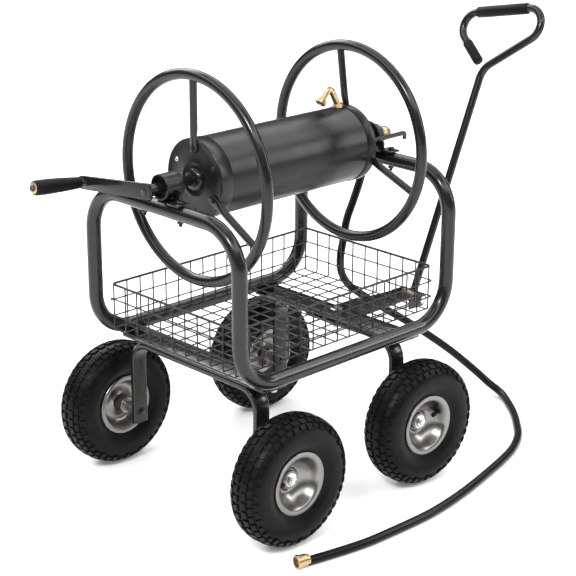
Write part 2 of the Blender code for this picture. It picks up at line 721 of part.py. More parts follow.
def handle_point(across, along):
    """Point of the pull handle: across its loop and along its stem, from the pivot."""
    pivot = Vector((STEER_AXLE_X + HANDLE_PIVOT_OFFSET, 0.0, HANDLE_PIVOT_Z))
    stem = Vector((math.sin(HANDLE_LEAN), 0.0, math.cos(HANDLE_LEAN)))
    return pivot + stem * along - AXIS_Y * across


def loop_point(pair):
    return handle_point(pair[0], HANDLE_LOOP_CENTRE + pair[1])


def pull_handle():
    """Stem and loop tube, pivot sleeve and bolt, grip and end cap."""
    pivot = handle_point(0.0, 0.0)
    neck = HANDLE_STEM_LENGTH
    corners = [handle_point(0.0, HANDLE_SLEEVE_R + GAP), handle_point(0.0, neck),
               loop_point(HANDLE_ARM_TOP), loop_point(HANDLE_FAR_TOP), loop_point(HANDLE_FREE_END)]
    radii = [0.0, HANDLE_NECK_R, HANDLE_ARM_BEND_R, HANDLE_BEND_R, 0.0]
    path = round_corners(corners, radii, 8)
    stem = sweep("pull_handle_tube", path, circle(HANDLE_TUBE_R, HANDLE_SIDES), "powder_coat", pivot)
    bore = HANDLE_BOLT_R + GAP
    sleeve_profile = [(-HANDLE_SLEEVE_HALF, bore), (-HANDLE_SLEEVE_HALF, HANDLE_SLEEVE_R),
                      (HANDLE_SLEEVE_HALF, HANDLE_SLEEVE_R), (HANDLE_SLEEVE_HALF, bore)]
    sleeve = lathe("handle_pivot_sleeve", pivot, AXIS_Y, sleeve_profile, 20, "yellow_zinc")
    seat = TONGUE_FRONT_HALF_WIDTH + GAP
    head = seat + HANDLE_BOLT_HEAD_HEIGHT
    bolt_profile = [(-head, 0.0), (-head, HANDLE_BOLT_HEAD_R), (-seat, HANDLE_BOLT_HEAD_R),
                    (-seat, HANDLE_BOLT_R), (seat, HANDLE_BOLT_R), (seat, HANDLE_BOLT_HEAD_R),
                    (head, HANDLE_BOLT_HEAD_R), (head, 0.0)]
    bolt = lathe("handle_pivot_bolt", pivot, AXIS_Y, bolt_profile, 12, "zinc")
    slope = (HANDLE_ARM_TOP[1] - HANDLE_FAR_TOP[1]) / (HANDLE_ARM_TOP[0] - HANDLE_FAR_TOP[0])
    start, end = [loop_point((at, HANDLE_FAR_TOP[1] + slope * (at - HANDLE_FAR_TOP[0])))
                  for at in (GRIP_FROM, GRIP_TO)]
    reach = end - start
    clear = HANDLE_TUBE_R + GAP
    grip_profile = [(0.0, clear), (0.0, clear + GRIP_THICKNESS), (reach.length, clear + GRIP_THICKNESS),
                    (reach.length, clear)]
    grip = lathe("pull_handle_grip", start, reach.normalized(), grip_profile, 16, "foam", pivot)
    free = loop_point(HANDLE_FREE_END)
    inward = (loop_point(HANDLE_FAR_TOP) - free).normalized()
    thick = clear + HANDLE_CAP_WALL
    cap_profile = [(-HANDLE_CAP_END, 0.0), (-HANDLE_CAP_END, thick * 0.75), (-HANDLE_CAP_END / 2.0, thick),
                   (HANDLE_CAP_LENGTH, thick), (HANDLE_CAP_LENGTH, clear), (-GAP, clear), (-GAP, 0.0)]
    cap = lathe("pull_handle_cap", free, inward, cap_profile, 14, "foam", pivot)
    return [stem, sleeve, bolt, grip, cap]


def basket():
    """Wire tray: a floor and four walls of crossing wires welded into one piece."""
    xs = grid_lines(BASKET_FROM_X, BASKET_TO_X, BASKET_CELLS_LONG)
    ys = grid_lines(-BASKET_HALF_WIDTH, BASKET_HALF_WIDTH, BASKET_CELLS_WIDE)
    zs = grid_lines(BASKET_BOTTOM_Z, BASKET_TOP_Z, BASKET_CELLS_HIGH)
    verts = []
    faces = []
    spots = {}

    def corner(i, j, k):
        key = (i, j, k)
        if key not in spots:
            spots[key] = len(verts)
            verts.append((xs[i], ys[j], zs[k]))
        return spots[key]

    filled = set()
    last_x, last_y, last_z = len(xs) - 2, len(ys) - 2, len(zs) - 2
    for i in range(last_x + 1):
        for j in range(last_y + 1):
            for k in range(last_z + 1):
                on_floor = k == 0 and (i % 2 == 0 or j % 2 == 0)
                on_long = j in (0, last_y) and (i % 2 == 0 or k % 2 == 0)
                on_end = i in (0, last_x) and (j % 2 == 0 or k % 2 == 0)
                if on_floor or on_long or on_end:
                    filled.add((i, j, k))
    steps = [((1, 0, 0), ((1, 0, 0), (1, 1, 0), (1, 1, 1), (1, 0, 1))),
             ((-1, 0, 0), ((0, 0, 0), (0, 0, 1), (0, 1, 1), (0, 1, 0))),
             ((0, 1, 0), ((0, 1, 0), (0, 1, 1), (1, 1, 1), (1, 1, 0))),
             ((0, -1, 0), ((0, 0, 0), (1, 0, 0), (1, 0, 1), (0, 0, 1))),
             ((0, 0, 1), ((0, 0, 1), (1, 0, 1), (1, 1, 1), (0, 1, 1))),
             ((0, 0, -1), ((0, 0, 0), (0, 1, 0), (1, 1, 0), (1, 0, 0)))]
    for i, j, k in sorted(filled):
        for (di, dj, dk), ring in steps:
            if (i + di, j + dj, k + dk) not in filled:
                faces.append(tuple(corner(i + a, j + b, k + c) for a, b, c in ring))
    return build_object("basket", verts, faces, "wire", (0.0, 0.0, BASKET_BOTTOM_Z))


def grid_lines(low, high, cells):
    """Both faces of every wire between two limits."""
    pitch = (high - low - BASKET_WIRE) / cells
    lines = []
    for index in range(cells + 1):
        lines += [low + index * pitch, low + index * pitch + BASKET_WIRE]
    return lines


def drum():
    """Hollow drum with an opening for the feed pipe."""
    profile = [(DRUM_FROM_X, DRUM_R - DRUM_WALL), (DRUM_FROM_X, DRUM_R), (DRUM_TO_X, DRUM_R),
               (DRUM_TO_X, DRUM_R - DRUM_WALL)]
    body = lathe("drum", (0.0, 0.0, REEL_Z), AXIS_X, profile, DRUM_SEGMENTS, "satin_black")
    start, end = outlet_point(OUTLET_X, DRUM_R * 0.8), outlet_point(OUTLET_X, DRUM_R * 1.2)
    return drill(body, start, end, FEED_TUBE_R + GAP, 12)


def outlet_point(x, radius):
    """Point on the radial plane of the outlet."""
    return Vector((x, radius * math.sin(OUTLET_ANGLE), REEL_Z + radius * math.cos(OUTLET_ANGLE)))


def end_disc(name, face_x, outward, bore_r):
    """Pressed disc closing the drum, with a lip inside the drum."""
    lip_r = DRUM_R - DRUM_WALL - GAP
    lip = -outward * DISC_LIP
    thick = outward * DISC_THICKNESS
    profile = [(0.0, bore_r), (thick, bore_r), (thick, DRUM_R - DISC_EDGE), (thick * 0.6, DRUM_R),
               (0.0, DRUM_R), (0.0, lip_r), (lip, lip_r), (lip, lip_r - DRUM_WALL),
               (0.0, lip_r - DRUM_WALL)]
    return lathe(name, (face_x, 0.0, REEL_Z), AXIS_X, profile, DRUM_SEGMENTS, "satin_black",
                 (face_x, 0.0, REEL_Z))


def hoop(name, face_x, outward, phase):
    """Hoop with three spokes, each ending in a flat tab bolted to the end disc."""
    plane_x = face_x + outward * (DISC_THICKNESS + GAP)
    centre = Vector((plane_x, 0.0, REEL_Z))
    path = []
    for step in range(HOOP_SEGMENTS):
        turn = FULL_TURN * step / HOOP_SEGMENTS
        path.append(centre + Vector((0.0, math.cos(turn), math.sin(turn))) * HOOP_R)
    ring = sweep(name, path, circle(HOOP_TUBE_R, HOOP_SIDES), "powder_coat", centre, closed=True)
    for index in range(3):
        turn = phase + FULL_TURN * index / 3.0
        radial = Vector((0.0, math.cos(turn), math.sin(turn)))
        across = Vector((0.0, -math.sin(turn), math.cos(turn)))
        join(ring, rod("spoke", centre + radial * (HOOP_R - HOOP_TUBE_R * 0.3),
                       centre + radial * SPOKE_FOOT_R, SPOKE_R, SPOKE_SIDES, "powder_coat"))
        narrow, wide = across * SPOKE_R * 0.8, across * TAB_HALF_WIDTH
        top, bottom = centre + radial * TAB_FROM_R, centre + radial * TAB_TO_R
        outline = [top - narrow, bottom - wide, bottom + wide, top + narrow]
        join(ring, prism("tab", outline, AXIS_X * outward, TAB_THICKNESS, "powder_coat", centre))
        seat = centre + radial * TAB_BOLT_AT_R
        top = AXIS_X * outward * (TAB_THICKNESS + TAB_BOLT_HEIGHT)
        join(ring, rod("tab_bolt", seat + top * 0.25, seat + top, TAB_BOLT_R, 6, "zinc"))
    return ring


def crank_shaft():
    """Steel shaft from the drum disc out to the crank arm, with its collar."""
    outside = DRUM_FROM_X - GAP - DISC_THICKNESS - GAP
    inside = DRUM_FROM_X + SHAFT_INNER_LENGTH
    arm_face = ARM_X - ARM_THICKNESS
    collar = outside - SHAFT_COLLAR_WIDTH
    profile = [(arm_face + GAP, 0.0), (arm_face + GAP, SHAFT_END_R), (ARM_X + GAP, SHAFT_END_R),
               (ARM_X + GAP, SHAFT_R), (collar, SHAFT_R), (collar, SHAFT_COLLAR_R - SHAFT_COLLAR_CHAMFER),
               (outside, SHAFT_COLLAR_R), (outside, SHAFT_R), (inside, SHAFT_R), (inside, 0.0)]
    return lathe("reel_shaft_crank", (0.0, 0.0, REEL_Z), AXIS_X, profile, 20, "powder_coat")


def inlet_shaft():
    """Hollow shaft that carries the water from the swivel into the drum."""
    outside = DRUM_TO_X + GAP + DISC_THICKNESS + GAP
    inside = DRUM_TO_X - INLET_SHAFT_INNER_LENGTH
    collar = outside + SHAFT_COLLAR_WIDTH
    profile = [(inside, INLET_SHAFT_BORE_R), (inside, INLET_SHAFT_R), (outside, INLET_SHAFT_R),
               (outside, SHAFT_COLLAR_R), (collar, SHAFT_COLLAR_R - SHAFT_COLLAR_CHAMFER),
               (collar, INLET_SHAFT_R), (INLET_SHAFT_TO_X, INLET_SHAFT_R),
               (INLET_SHAFT_TO_X, INLET_SHAFT_BORE_R)]
    return lathe("reel_shaft_inlet", (0.0, 0.0, REEL_Z), AXIS_X, profile, 20, "powder_coat")


def bearing_housing(name, from_x, shaft_r, open_side):
    """Tube housing with the bearing set back inside its open end."""
    to_x = from_x + HOUSING_LENGTH
    low = from_x + (HOUSING_RECESS if open_side < 0 else HOUSING_LENGTH - HOUSING_RECESS - HOUSING_WEB)
    high = low + HOUSING_WEB
    bore = shaft_r + GAP
    profile = [(from_x, HOUSING_BORE_R), (from_x, HOUSING_R), (to_x, HOUSING_R), (to_x, HOUSING_BORE_R),
               (high, HOUSING_BORE_R), (high, bore), (low, bore), (low, HOUSING_BORE_R)]
    return lathe(name, (0.0, 0.0, REEL_Z), AXIS_X, profile, 20, "satin_black",
                 (from_x, 0.0, REEL_Z))


def bracket_foot(bracket, rail_x, plate_x, inward, side):
    """Add one drilled foot of a bearing bracket on top of the rail."""
    foot_z = FRAME_TOP_Z + FRAME_TUBE_R + GAP
    near, far = sorted((side * (HOUSING_R + GAP + BRACKET_ARCH_LIFT), side * BRACKET_FOOT_HALF_WIDTH))
    low, high = sorted((rail_x - inward * BRACKET_FOOT_LENGTH / 2.0, plate_x + inward * BRACKET_THICKNESS))
    join(bracket, box("foot", (low, near, foot_z), (high, far, foot_z + BRACKET_THICKNESS), "powder_coat"))
    bolt_y = side * BRACKET_BOLT_Y
    drill(bracket, (rail_x, bolt_y, foot_z - BRACKET_DRILL), (rail_x, bolt_y, foot_z + BRACKET_DRILL),
          BRACKET_BOLT_R + GAP, 10)


def bearing_cradle(name, rail_x, inward):
    """Low bracket: a plate standing beside the rail that cradles the housing, on two feet."""
    foot_z = FRAME_TOP_Z + FRAME_TUBE_R + GAP
    plate_x = rail_x + inward * CRADLE_OFFSET
    low, high = foot_z - CRADLE_DROP, REEL_Z - CRADLE_BELOW_AXIS
    outline = [(plate_x, -CRADLE_HALF_WIDTH, low), (plate_x, -CRADLE_HALF_WIDTH, high),
               (plate_x, CRADLE_HALF_WIDTH, high), (plate_x, CRADLE_HALF_WIDTH, low)]
    bracket = prism(name, outline, AXIS_X * inward, BRACKET_THICKNESS, "powder_coat",
                    (rail_x, 0.0, foot_z))
    for side in (-1.0, 1.0):
        bracket_foot(bracket, rail_x, plate_x, inward, side)
    drill(bracket, (plate_x - BRACKET_DRILL, 0.0, REEL_Z), (plate_x + BRACKET_DRILL, 0.0, REEL_Z),
          HOUSING_R + GAP, 20)
    return bracket


def bearing_bracket(name, rail_x, inward):
    """Saddle bracket: an arch plate round the housing on two feet bolted to the rail."""
    foot_z = FRAME_TOP_Z + FRAME_TUBE_R + GAP
    plate_x = rail_x + inward * BRACKET_FOOT_LENGTH / 2.0
    clear = HOUSING_R + GAP
    outline = []
    outline += [(plate_x, -BRACKET_HALF_WIDTH, foot_z), (plate_x, -BRACKET_HALF_WIDTH, REEL_Z)]
    rise = BRACKET_TOP_Z - REEL_Z
    for step in range(BRACKET_ARCH_STEPS + 1):
        turn = math.pi - math.pi * step / BRACKET_ARCH_STEPS
        outline.append((plate_x, BRACKET_ARCH_R * math.cos(turn),
                        REEL_Z + BRACKET_ARCH_LIFT + rise * math.sin(turn)))
    outline += [(plate_x, BRACKET_HALF_WIDTH, REEL_Z), (plate_x, BRACKET_HALF_WIDTH, foot_z)]
    bracket = prism(name, outline, AXIS_X * inward, BRACKET_THICKNESS, "powder_coat",
                    (rail_x, 0.0, foot_z))
    for side in (-1.0, 1.0):
        bracket_foot(bracket, rail_x, plate_x, inward, side)
    before, behind = plate_x - BRACKET_DRILL, plate_x + BRACKET_DRILL
    drill(bracket, (before, 0.0, REEL_Z), (behind, 0.0, REEL_Z), clear, 20)
    trim = box("trim", (before, -clear, foot_z - BRACKET_DRILL),
               (behind, clear, REEL_Z - BRACKET_SLOT_STOP), "zinc")
    return cut(bracket, trim)


def bracket_bolt(name, x, y):
    """Bolt down through the bracket foot and the rail, with its nut underneath."""
    seat = FRAME_TOP_Z + FRAME_TUBE_R + GAP + BRACKET_THICKNESS + GAP
    under = FRAME_TOP_Z - FRAME_TUBE_R - GAP
    head, wide = BRACKET_BOLT_HEAD_HEIGHT, BRACKET_BOLT_HEAD_R
    profile = [(seat + head, 0.0), (seat + head, wide * 0.9), (seat, wide), (seat, BRACKET_BOLT_R),
               (under, BRACKET_BOLT_R), (under, wide), (under - head, wide),
               (under - head, BRACKET_BOLT_R), (BRACKET_BOLT_END_Z, BRACKET_BOLT_R),
               (BRACKET_BOLT_END_Z, 0.0)]
    return lathe(name, (x, y, 0.0), AXIS_Z, profile, 8, "zinc", (x, y, seat))


def crank():
    """Crank arm, nut, spindle and free turning grip."""
    hub = Vector((ARM_X, 0.0, REEL_Z))
    knob = Vector((ARM_X, ARM_GRIP_Y, ARM_GRIP_Z))
    along = (knob - hub).normalized()
    across = AXIS_X.cross(along)
    outline = []
    for side in (1.0, -1.0):
        corner = hub - along * (ARM_HUB_REACH - ARM_HUB_CORNER)
        corner += across * side * (ARM_HALF_HEIGHT - ARM_HUB_CORNER)
        for step in range(3):
            turn = math.pi * step / 4.0
            lean = turn if side > 0.0 else math.pi / 2.0 - turn
            reach = across * side * math.cos(lean) - along * math.sin(lean)
            outline.append(corner + reach * ARM_HUB_CORNER)
    for step in range(7):
        turn = -math.pi / 2.0 + math.pi * step / 6.0
        reach = along * math.cos(turn) + across * math.sin(turn)
        outline.append(knob + reach * ARM_GRIP_HALF_HEIGHT)
    arm = prism("crank_arm", outline, -AXIS_X, ARM_THICKNESS, "powder_coat", hub)
    through = AXIS_X * 2.0 * ARM_THICKNESS
    drill(arm, hub + through, hub - through, SHAFT_END_R + GAP, 16)
    lean = Vector((math.cos(CRANK_GRIP_TILT), 0.0, -math.sin(CRANK_GRIP_TILT)))
    drill(arm, knob + lean * 2.0 * ARM_THICKNESS, knob - lean * 2.0 * ARM_THICKNESS, GRIP_SPINDLE_R + GAP, 12)
    face = ARM_X - ARM_THICKNESS
    seat = face - GAP
    nut_profile = [(seat, 0.0), (seat, CRANK_NUT_R), (seat - CRANK_NUT_HEIGHT, CRANK_NUT_R * 0.9),
                   (seat - CRANK_NUT_HEIGHT, 0.0)]
    nut = lathe("crank_nut", (0.0, 0.0, REEL_Z), AXIS_X, nut_profile, 12, "satin_black",
                (face, 0.0, REEL_Z))
    grip_from = -ARM_THICKNESS - CRANK_GRIP_CLEAR
    grip_to = grip_from - CRANK_GRIP_LENGTH
    bore = GRIP_SPINDLE_R + GAP
    grip_profile = [(grip_from, bore)] + [(grip_from - at, radius) for at, radius in CRANK_GRIP_SHAPE]
    grip_profile += [(grip_to, bore)]
    grip = lathe("crank_grip", knob, lean, grip_profile, CRANK_GRIP_SIDES, "foam",
                 knob + lean * grip_from)
    back = SPINDLE_HEAD_GAP
    front = grip_to - GAP
    head = back + SPINDLE_HEAD_HEIGHT
    washer = grip_to - SPINDLE_WASHER
    tip = grip_to - SPINDLE_TIP
    pin_profile = [(head, 0.0), (head, SPINDLE_HEAD_R), (back, SPINDLE_HEAD_R), (back, GRIP_SPINDLE_R),
                   (front, GRIP_SPINDLE_R), (front, SPINDLE_WASHER_R), (washer, SPINDLE_WASHER_R),
                   (washer, SPINDLE_TIP_R), (tip, SPINDLE_TIP_R * 0.8), (tip, 0.0)]
    spindle = lathe("grip_spindle", knob, lean, pin_profile, 16, "zinc", knob + lean * back)
    return [arm, nut, grip, spindle]


def inlet_swivel():
    """Brass swivel on the end of the hollow shaft, with a spout for the leader hose."""
    neck_from, neck, neck_to = [SWIVEL_FROM_X + along for along in SWIVEL_NECK]
    profile = [(SWIVEL_FROM_X, 0.0), (SWIVEL_FROM_X, SWIVEL_R), (neck_from, SWIVEL_R),
               (neck, SWIVEL_R * 0.85), (neck_to, SWIVEL_R), (SWIVEL_TO_X - SWIVEL_TAPER, SWIVEL_R),
               (SWIVEL_TO_X, SWIVEL_R * 0.6), (SWIVEL_TO_X, 0.0)]
    body = lathe("inlet_swivel", (0.0, 0.0, REEL_Z), AXIS_X, profile, 18, "brass",
                 (SWIVEL_FROM_X, 0.0, REEL_Z))
    centre = Vector((SWIVEL_SPOUT_X, 0.0, REEL_Z))
    end = Vector(SWIVEL_SPOUT_END)
    return join(body, rod("spout", centre, end, SWIVEL_SPOUT_R, 14, "brass"))


def lock_pin():
    """Sliding flat strap with a turned down end, pushed up to the end disc to hold the reel."""
    corners = [(LOCK_PIN_FROM_X, LOCK_PIN_Y, LOCK_PIN_Z), (LOCK_PIN_TO_X, LOCK_PIN_Y, LOCK_PIN_Z),
               (LOCK_PIN_TO_X, LOCK_PIN_Y, LOCK_PIN_Z - LOCK_PIN_DROP)]
    path = round_corners(corners, [0.0, LOCK_PIN_BEND_R, 0.0], LOCK_PIN_BEND_STEPS)
    tall, thin = LOCK_PIN_HALF_HEIGHT, LOCK_PIN_HALF_THICKNESS
    section = [(-thin, -tall), (thin, -tall), (thin, tall), (-thin, tall)]
    return sweep("lock_pin", path, section, "powder_coat", (LOCK_PIN_FROM_X, LOCK_PIN_Y, LOCK_PIN_Z),
                 lead=AXIS_Y)


def outlet():
    """Brass outlet bent back over the drum, with its nut, and the feed pipe inside."""
    foot = outlet_point(OUTLET_X, DRUM_R + OUTLET_FOOT_LIFT)
    rise = outlet_point(OUTLET_X, DRUM_R + OUTLET_TUBE_LIFT)
    apex = outlet_point(OUTLET_APEX_X, OUTLET_APEX_R)
    tip = outlet_point(OUTLET_NUT_X, OUTLET_NUT_AT_R)
    path = round_corners([rise, apex, tip], [0.0, OUTLET_BEND_R, 0.0], 5)
    bend = sweep("outlet_elbow", path, circle(OUTLET_TUBE_R, 12), "brass", foot)
    aim = (tip - apex).normalized() * OUTLET_NUT_LENGTH
    join(bend, rod("nut", tip - aim * 0.6, tip + aim * 0.4, OUTLET_NUT_R, 8, "brass"))
    collar = outlet_point(OUTLET_X, DRUM_R + OUTLET_FOOT_HEIGHT)
    join(bend, rod("foot_nut", foot, collar, OUTLET_FOOT_R, 6, "brass"))
    knee = Vector((OUTLET_X, 0.0, REEL_Z))
    corners = [(FEED_FROM_X, 0.0, REEL_Z), knee, outlet_point(OUTLET_X, DRUM_R - DRUM_WALL / 2.0)]
    pipe_path = round_corners(corners, [0.0, FEED_BEND_R, 0.0], 4)
    pipe = sweep("feed_pipe", pipe_path, circle(FEED_TUBE_R, 12), "brass", knee)
    return [bend, pipe]


HOSE_ROUTE = [
    (0.3060, 0.0500, 0.5650), (0.3045, 0.0600, 0.5280), (0.3050, 0.0770, 0.4840),
    (0.3060, 0.0950, 0.4400), (0.3070, 0.1060, 0.3900),
    (0.3080, 0.1140, 0.3480), (0.3200, 0.1200, 0.3100), (0.3440, 0.1180, 0.2760),
    (0.3760, 0.1000, 0.2470), (0.4120, 0.0740, 0.2170), (0.4520, 0.0470, 0.1860),
    (0.4980, 0.0210, 0.1480), (0.5460, -0.0060, 0.1050), (0.5880, -0.0350, 0.0600),
    (0.6120, -0.0660, 0.0260), (0.6130, -0.1020, 0.0115), (0.5850, -0.1440, 0.0089),
    (0.5500, -0.1860, 0.0089), (0.5110, -0.2250, 0.0089), (0.4630, -0.2660, 0.0089),
    (0.4060, -0.2970, 0.0089), (0.3460, -0.3170, 0.0089), (0.2660, -0.3370, 0.0089),
    (0.1890, -0.3540, 0.0089), (0.1220, -0.3650, 0.0089), (0.0600, -0.3710, 0.0089),
    (0.0000, -0.3710, 0.0089), (-0.0540, -0.3690, 0.0089), (-0.1060, -0.3660, 0.0089),
    (-0.1520, -0.3590, 0.0089), (-0.1960, -0.3500, 0.0089), (-0.2390, -0.3400, 0.0089),
]


def hose_curve():
    """Even points on a smooth curve through the route."""
    spout = Vector(SWIVEL_SPOUT_END)
    out = (spout - Vector((SWIVEL_SPOUT_X, 0.0, REEL_Z))).normalized()
    start = spout + out * GAP
    route = [start + out * HOSE_STRAIGHT] + [Vector(p) for p in HOSE_ROUTE]
    padded = [start] + route + [route[-1] * 2.0 - route[-2]]
    fine = []
    per_span = HOSE_STEPS
    for index in range(len(route) - 1):
        a, b, c, d = padded[index:index + 4]
        for step in range(per_span):
            t = step / per_span
            fine.append(0.5 * ((2.0 * b) + (c - a) * t + (2.0 * a - 5.0 * b + 4.0 * c - d) * t * t
                               + (3.0 * b - a - 3.0 * c + d) * t * t * t))
    fine.append(route[-1])
    total = sum((q - p).length for p, q in zip(fine, fine[1:]))
    even = [fine[0]]
    walked = 0.0
    goal = total / (HOSE_POINTS - 2)
    for p, q in zip(fine, fine[1:]):
        span = (q - p).length
        while walked + span >= goal * len(even) and len(even) < HOSE_POINTS - 2:
            even.append(p + (q - p) * ((goal * len(even) - walked) / span))
        walked += span
    even.append(fine[-1])
    return [start] + even


def leader_hose():
    """Rubber leader hose as a round curve, and the brass fitting on its end."""
    points = hose_curve()
    curve = bpy.data.curves.new("leader_hose", "CURVE")
    curve.dimensions = "3D"
    curve.bevel_depth = HOSE_R
    curve.bevel_resolution = 2
    curve.use_fill_caps = True
    curve.render_resolution_u = 0
    spline = curve.splines.new("POLY")
    spline.points.add(len(points) - 1)
    for spot, point in zip(spline.points, points):
        spot.co = (*point, 1.0)
    tube = bpy.data.objects.new("leader_hose", curve)
    bpy.context.scene.collection.objects.link(tube)
    curve.materials.append(finish_material("leader_hose_finish", *FINISHES["hose"]))
    end = points[-1]
    aim = (points[-1] - points[-2]).normalized()
    aim = Vector((aim.x, aim.y, 0.0)).normalized()
    seat = Vector((end.x, end.y, FITTING_R + GAP)) + aim * GAP
    fitting = lathe("hose_fitting", seat, aim, FITTING_SHAPE, 18, "brass")
    return [tube, fitting]


def build():
    """Put the whole cart together."""
    frame_loop()
    cross_plate("crank_cross_plate", CRANK_PLATE_FROM_X, CRANK_PLATE_TO_X)
    steer_plate = cross_plate("handle_cross_plate", STEER_PLATE_FROM_X, STEER_PLATE_TO_X)
    drill_for_kingpin(steer_plate)
    for (x, y) in rail_bolt_spots():
        label = ("crank_" if x < 0.0 else "handle_") + ("near" if y < 0.0 else "far")
        rail_bolt("rail_bolt_" + label, x, y)
    beam_top = PLATE_TOP_Z - PLATE_THICKNESS - GAP
    axle_beam("crank_axle_beam", CRANK_AXLE_X, beam_top)
    steer_top = TONGUE_TOP_Z - TONGUE_THICKNESS - GAP
    steer_beam = axle_beam("steer_axle_beam", STEER_AXLE_X, steer_top)
    drill_for_kingpin(steer_beam)
    wheel("crank_far", (CRANK_AXLE_X, CRANK_HALF_TRACK, WHEEL_R), 1.0)
    wheel("crank_near", (CRANK_AXLE_X, -CRANK_HALF_TRACK, WHEEL_R), -1.0)
    steered = [steer_beam, steering_tongue(), kingpin()] + pull_handle()
    steered += wheel("handle_far", (STEER_AXLE_X, STEER_HALF_TRACK, WHEEL_R), 1.0)
    steered += wheel("handle_near", (STEER_AXLE_X, -STEER_HALF_TRACK, WHEEL_R), -1.0)
    for part in steered:
        turn_with_steering(part)
    basket()
    drum()
    crank_face = DRUM_FROM_X - GAP
    inlet_face = DRUM_TO_X + GAP
    end_disc("end_disc_crank", crank_face, -1.0, SHAFT_R + GAP)
    end_disc("end_disc_inlet", inlet_face, 1.0, INLET_SHAFT_R + GAP)
    hoop("hoop_crank", crank_face, -1.0, CRANK_HOOP_PHASE)
    hoop("hoop_inlet", inlet_face, 1.0, INLET_HOOP_PHASE)
    crank_shaft()
    inlet_shaft()
    bearing_housing("bearing_housing_crank", HOUSING_CRANK_X, SHAFT_R, -1)
    bearing_housing("bearing_housing_inlet", HOUSING_INLET_X, INLET_SHAFT_R, 1)
    bearing_cradle("bearing_bracket_crank", -FRAME_HALF_LENGTH, 1.0)
    inlet_bracket = bearing_bracket("bearing_bracket_inlet", FRAME_HALF_LENGTH, -1.0)
    bracket_x = FRAME_HALF_LENGTH - BRACKET_FOOT_LENGTH / 2.0
    drill(inlet_bracket, (bracket_x - BRACKET_DRILL, LOCK_PIN_Y, LOCK_PIN_Z),
          (bracket_x + BRACKET_DRILL, LOCK_PIN_Y, LOCK_PIN_Z), LOCK_SLOT_R, 12)
    for label, x in (("crank", -FRAME_HALF_LENGTH), ("inlet", FRAME_HALF_LENGTH)):
        for side, y in (("near", -BRACKET_BOLT_Y), ("far", BRACKET_BOLT_Y)):
            bracket_bolt("bracket_bolt_" + label + "_" + side, x, y)
    crank()
    inlet_swivel()
    lock_pin()
    outlet()
    leader_hose()
    for part in bpy.data.objects:
        part.location.x -= CART_MIDDLE_X


build()
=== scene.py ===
from itertools import product
from math import atan2, copysign, cos, pi, radians, sin, tan

import bmesh
import bpy
from mathutils import Matrix, Vector


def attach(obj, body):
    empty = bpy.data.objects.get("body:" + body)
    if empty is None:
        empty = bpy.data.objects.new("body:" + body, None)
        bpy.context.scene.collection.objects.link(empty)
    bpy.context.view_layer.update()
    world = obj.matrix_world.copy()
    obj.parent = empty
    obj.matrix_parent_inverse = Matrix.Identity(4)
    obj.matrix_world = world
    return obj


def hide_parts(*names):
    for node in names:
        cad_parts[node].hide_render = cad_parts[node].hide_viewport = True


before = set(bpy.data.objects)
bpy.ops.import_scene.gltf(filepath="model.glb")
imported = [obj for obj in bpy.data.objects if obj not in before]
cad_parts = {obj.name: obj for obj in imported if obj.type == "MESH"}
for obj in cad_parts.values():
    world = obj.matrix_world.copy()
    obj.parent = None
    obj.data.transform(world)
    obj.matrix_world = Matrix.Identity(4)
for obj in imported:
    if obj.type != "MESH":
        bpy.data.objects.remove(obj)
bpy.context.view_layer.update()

# X below counts from the middle of the tube frame, as the cart is drawn; the row's
# origin lies under the middle of the whole cart, this far along.
CART_MIDDLE_X = 0.1076
# Unit vectors.
X = Vector((1.0, 0.0, 0.0))
Y = Vector((0.0, 1.0, 0.0))
Z = Vector((0.0, 0.0, 1.0))
FULL_TURN = 2.0 * pi
GAP = 0.0003

FRAME_TUBE_R = 0.0143
FRAME_HALF_LENGTH = 0.279
FRAME_HALF_WIDTH = 0.2045
FRAME_TOP_Z = 0.604
FRAME_BOTTOM_Z = 0.3055
FRAME_BEND_R = 0.083

WHEEL_R = 0.127
CRANK_AXLE_X = -0.2015
CRANK_HALF_TRACK = 0.2505
STEER_AXLE_X = 0.179
STEER_HALF_TRACK = 0.242
STEER_REST = radians(-3.4)
REEL_Z = 0.643


def turn_about(spot, angle, axis):
    return Matrix.Translation(spot) @ Matrix.Rotation(angle, 4, axis) @ Matrix.Translation(-spot)


PIN_SPOT = Vector((STEER_AXLE_X, 0.0, 0.0))
IN_PLACE = Matrix.Identity(4)
STEERED = turn_about(PIN_SPOT, STEER_REST, "Z")
TO_ROW = Matrix.Translation((-CART_MIDDLE_X, 0.0, 0.0))


def add_object(name, data):
    obj = bpy.data.objects.new(name, data)
    bpy.context.scene.collection.objects.link(obj)
    return obj


# ---- camera and light

CAMERA_AZIMUTH = radians(-44.49)
CAMERA_ELEVATION = radians(19.35)
CAMERA_ROLL = radians(0.314)
CAMERA_TARGET = Vector((0.0393, 0.0, 0.3745))
CAMERA_DISTANCE = 3.166
CAMERA_LENS = 100.0


def aim_camera():
    """Stand the camera where the photographer stood."""
    lens = bpy.data.cameras.new("camera")
    lens.lens = CAMERA_LENS
    lens.sensor_width = 36.0
    lens.clip_start = 0.05
    lens.clip_end = 60.0
    camera = add_object("camera", lens)
    look = (Matrix.Rotation(CAMERA_AZIMUTH, 4, "Z")
            @ Matrix.Rotation(pi / 2.0 - CAMERA_ELEVATION, 4, "X"))
    spot = TO_ROW @ (CAMERA_TARGET + look.col[2].xyz * CAMERA_DISTANCE)
    camera.matrix_world = Matrix.Translation(spot) @ look @ Matrix.Rotation(CAMERA_ROLL, 4, "Z")
    bpy.context.scene.camera = camera


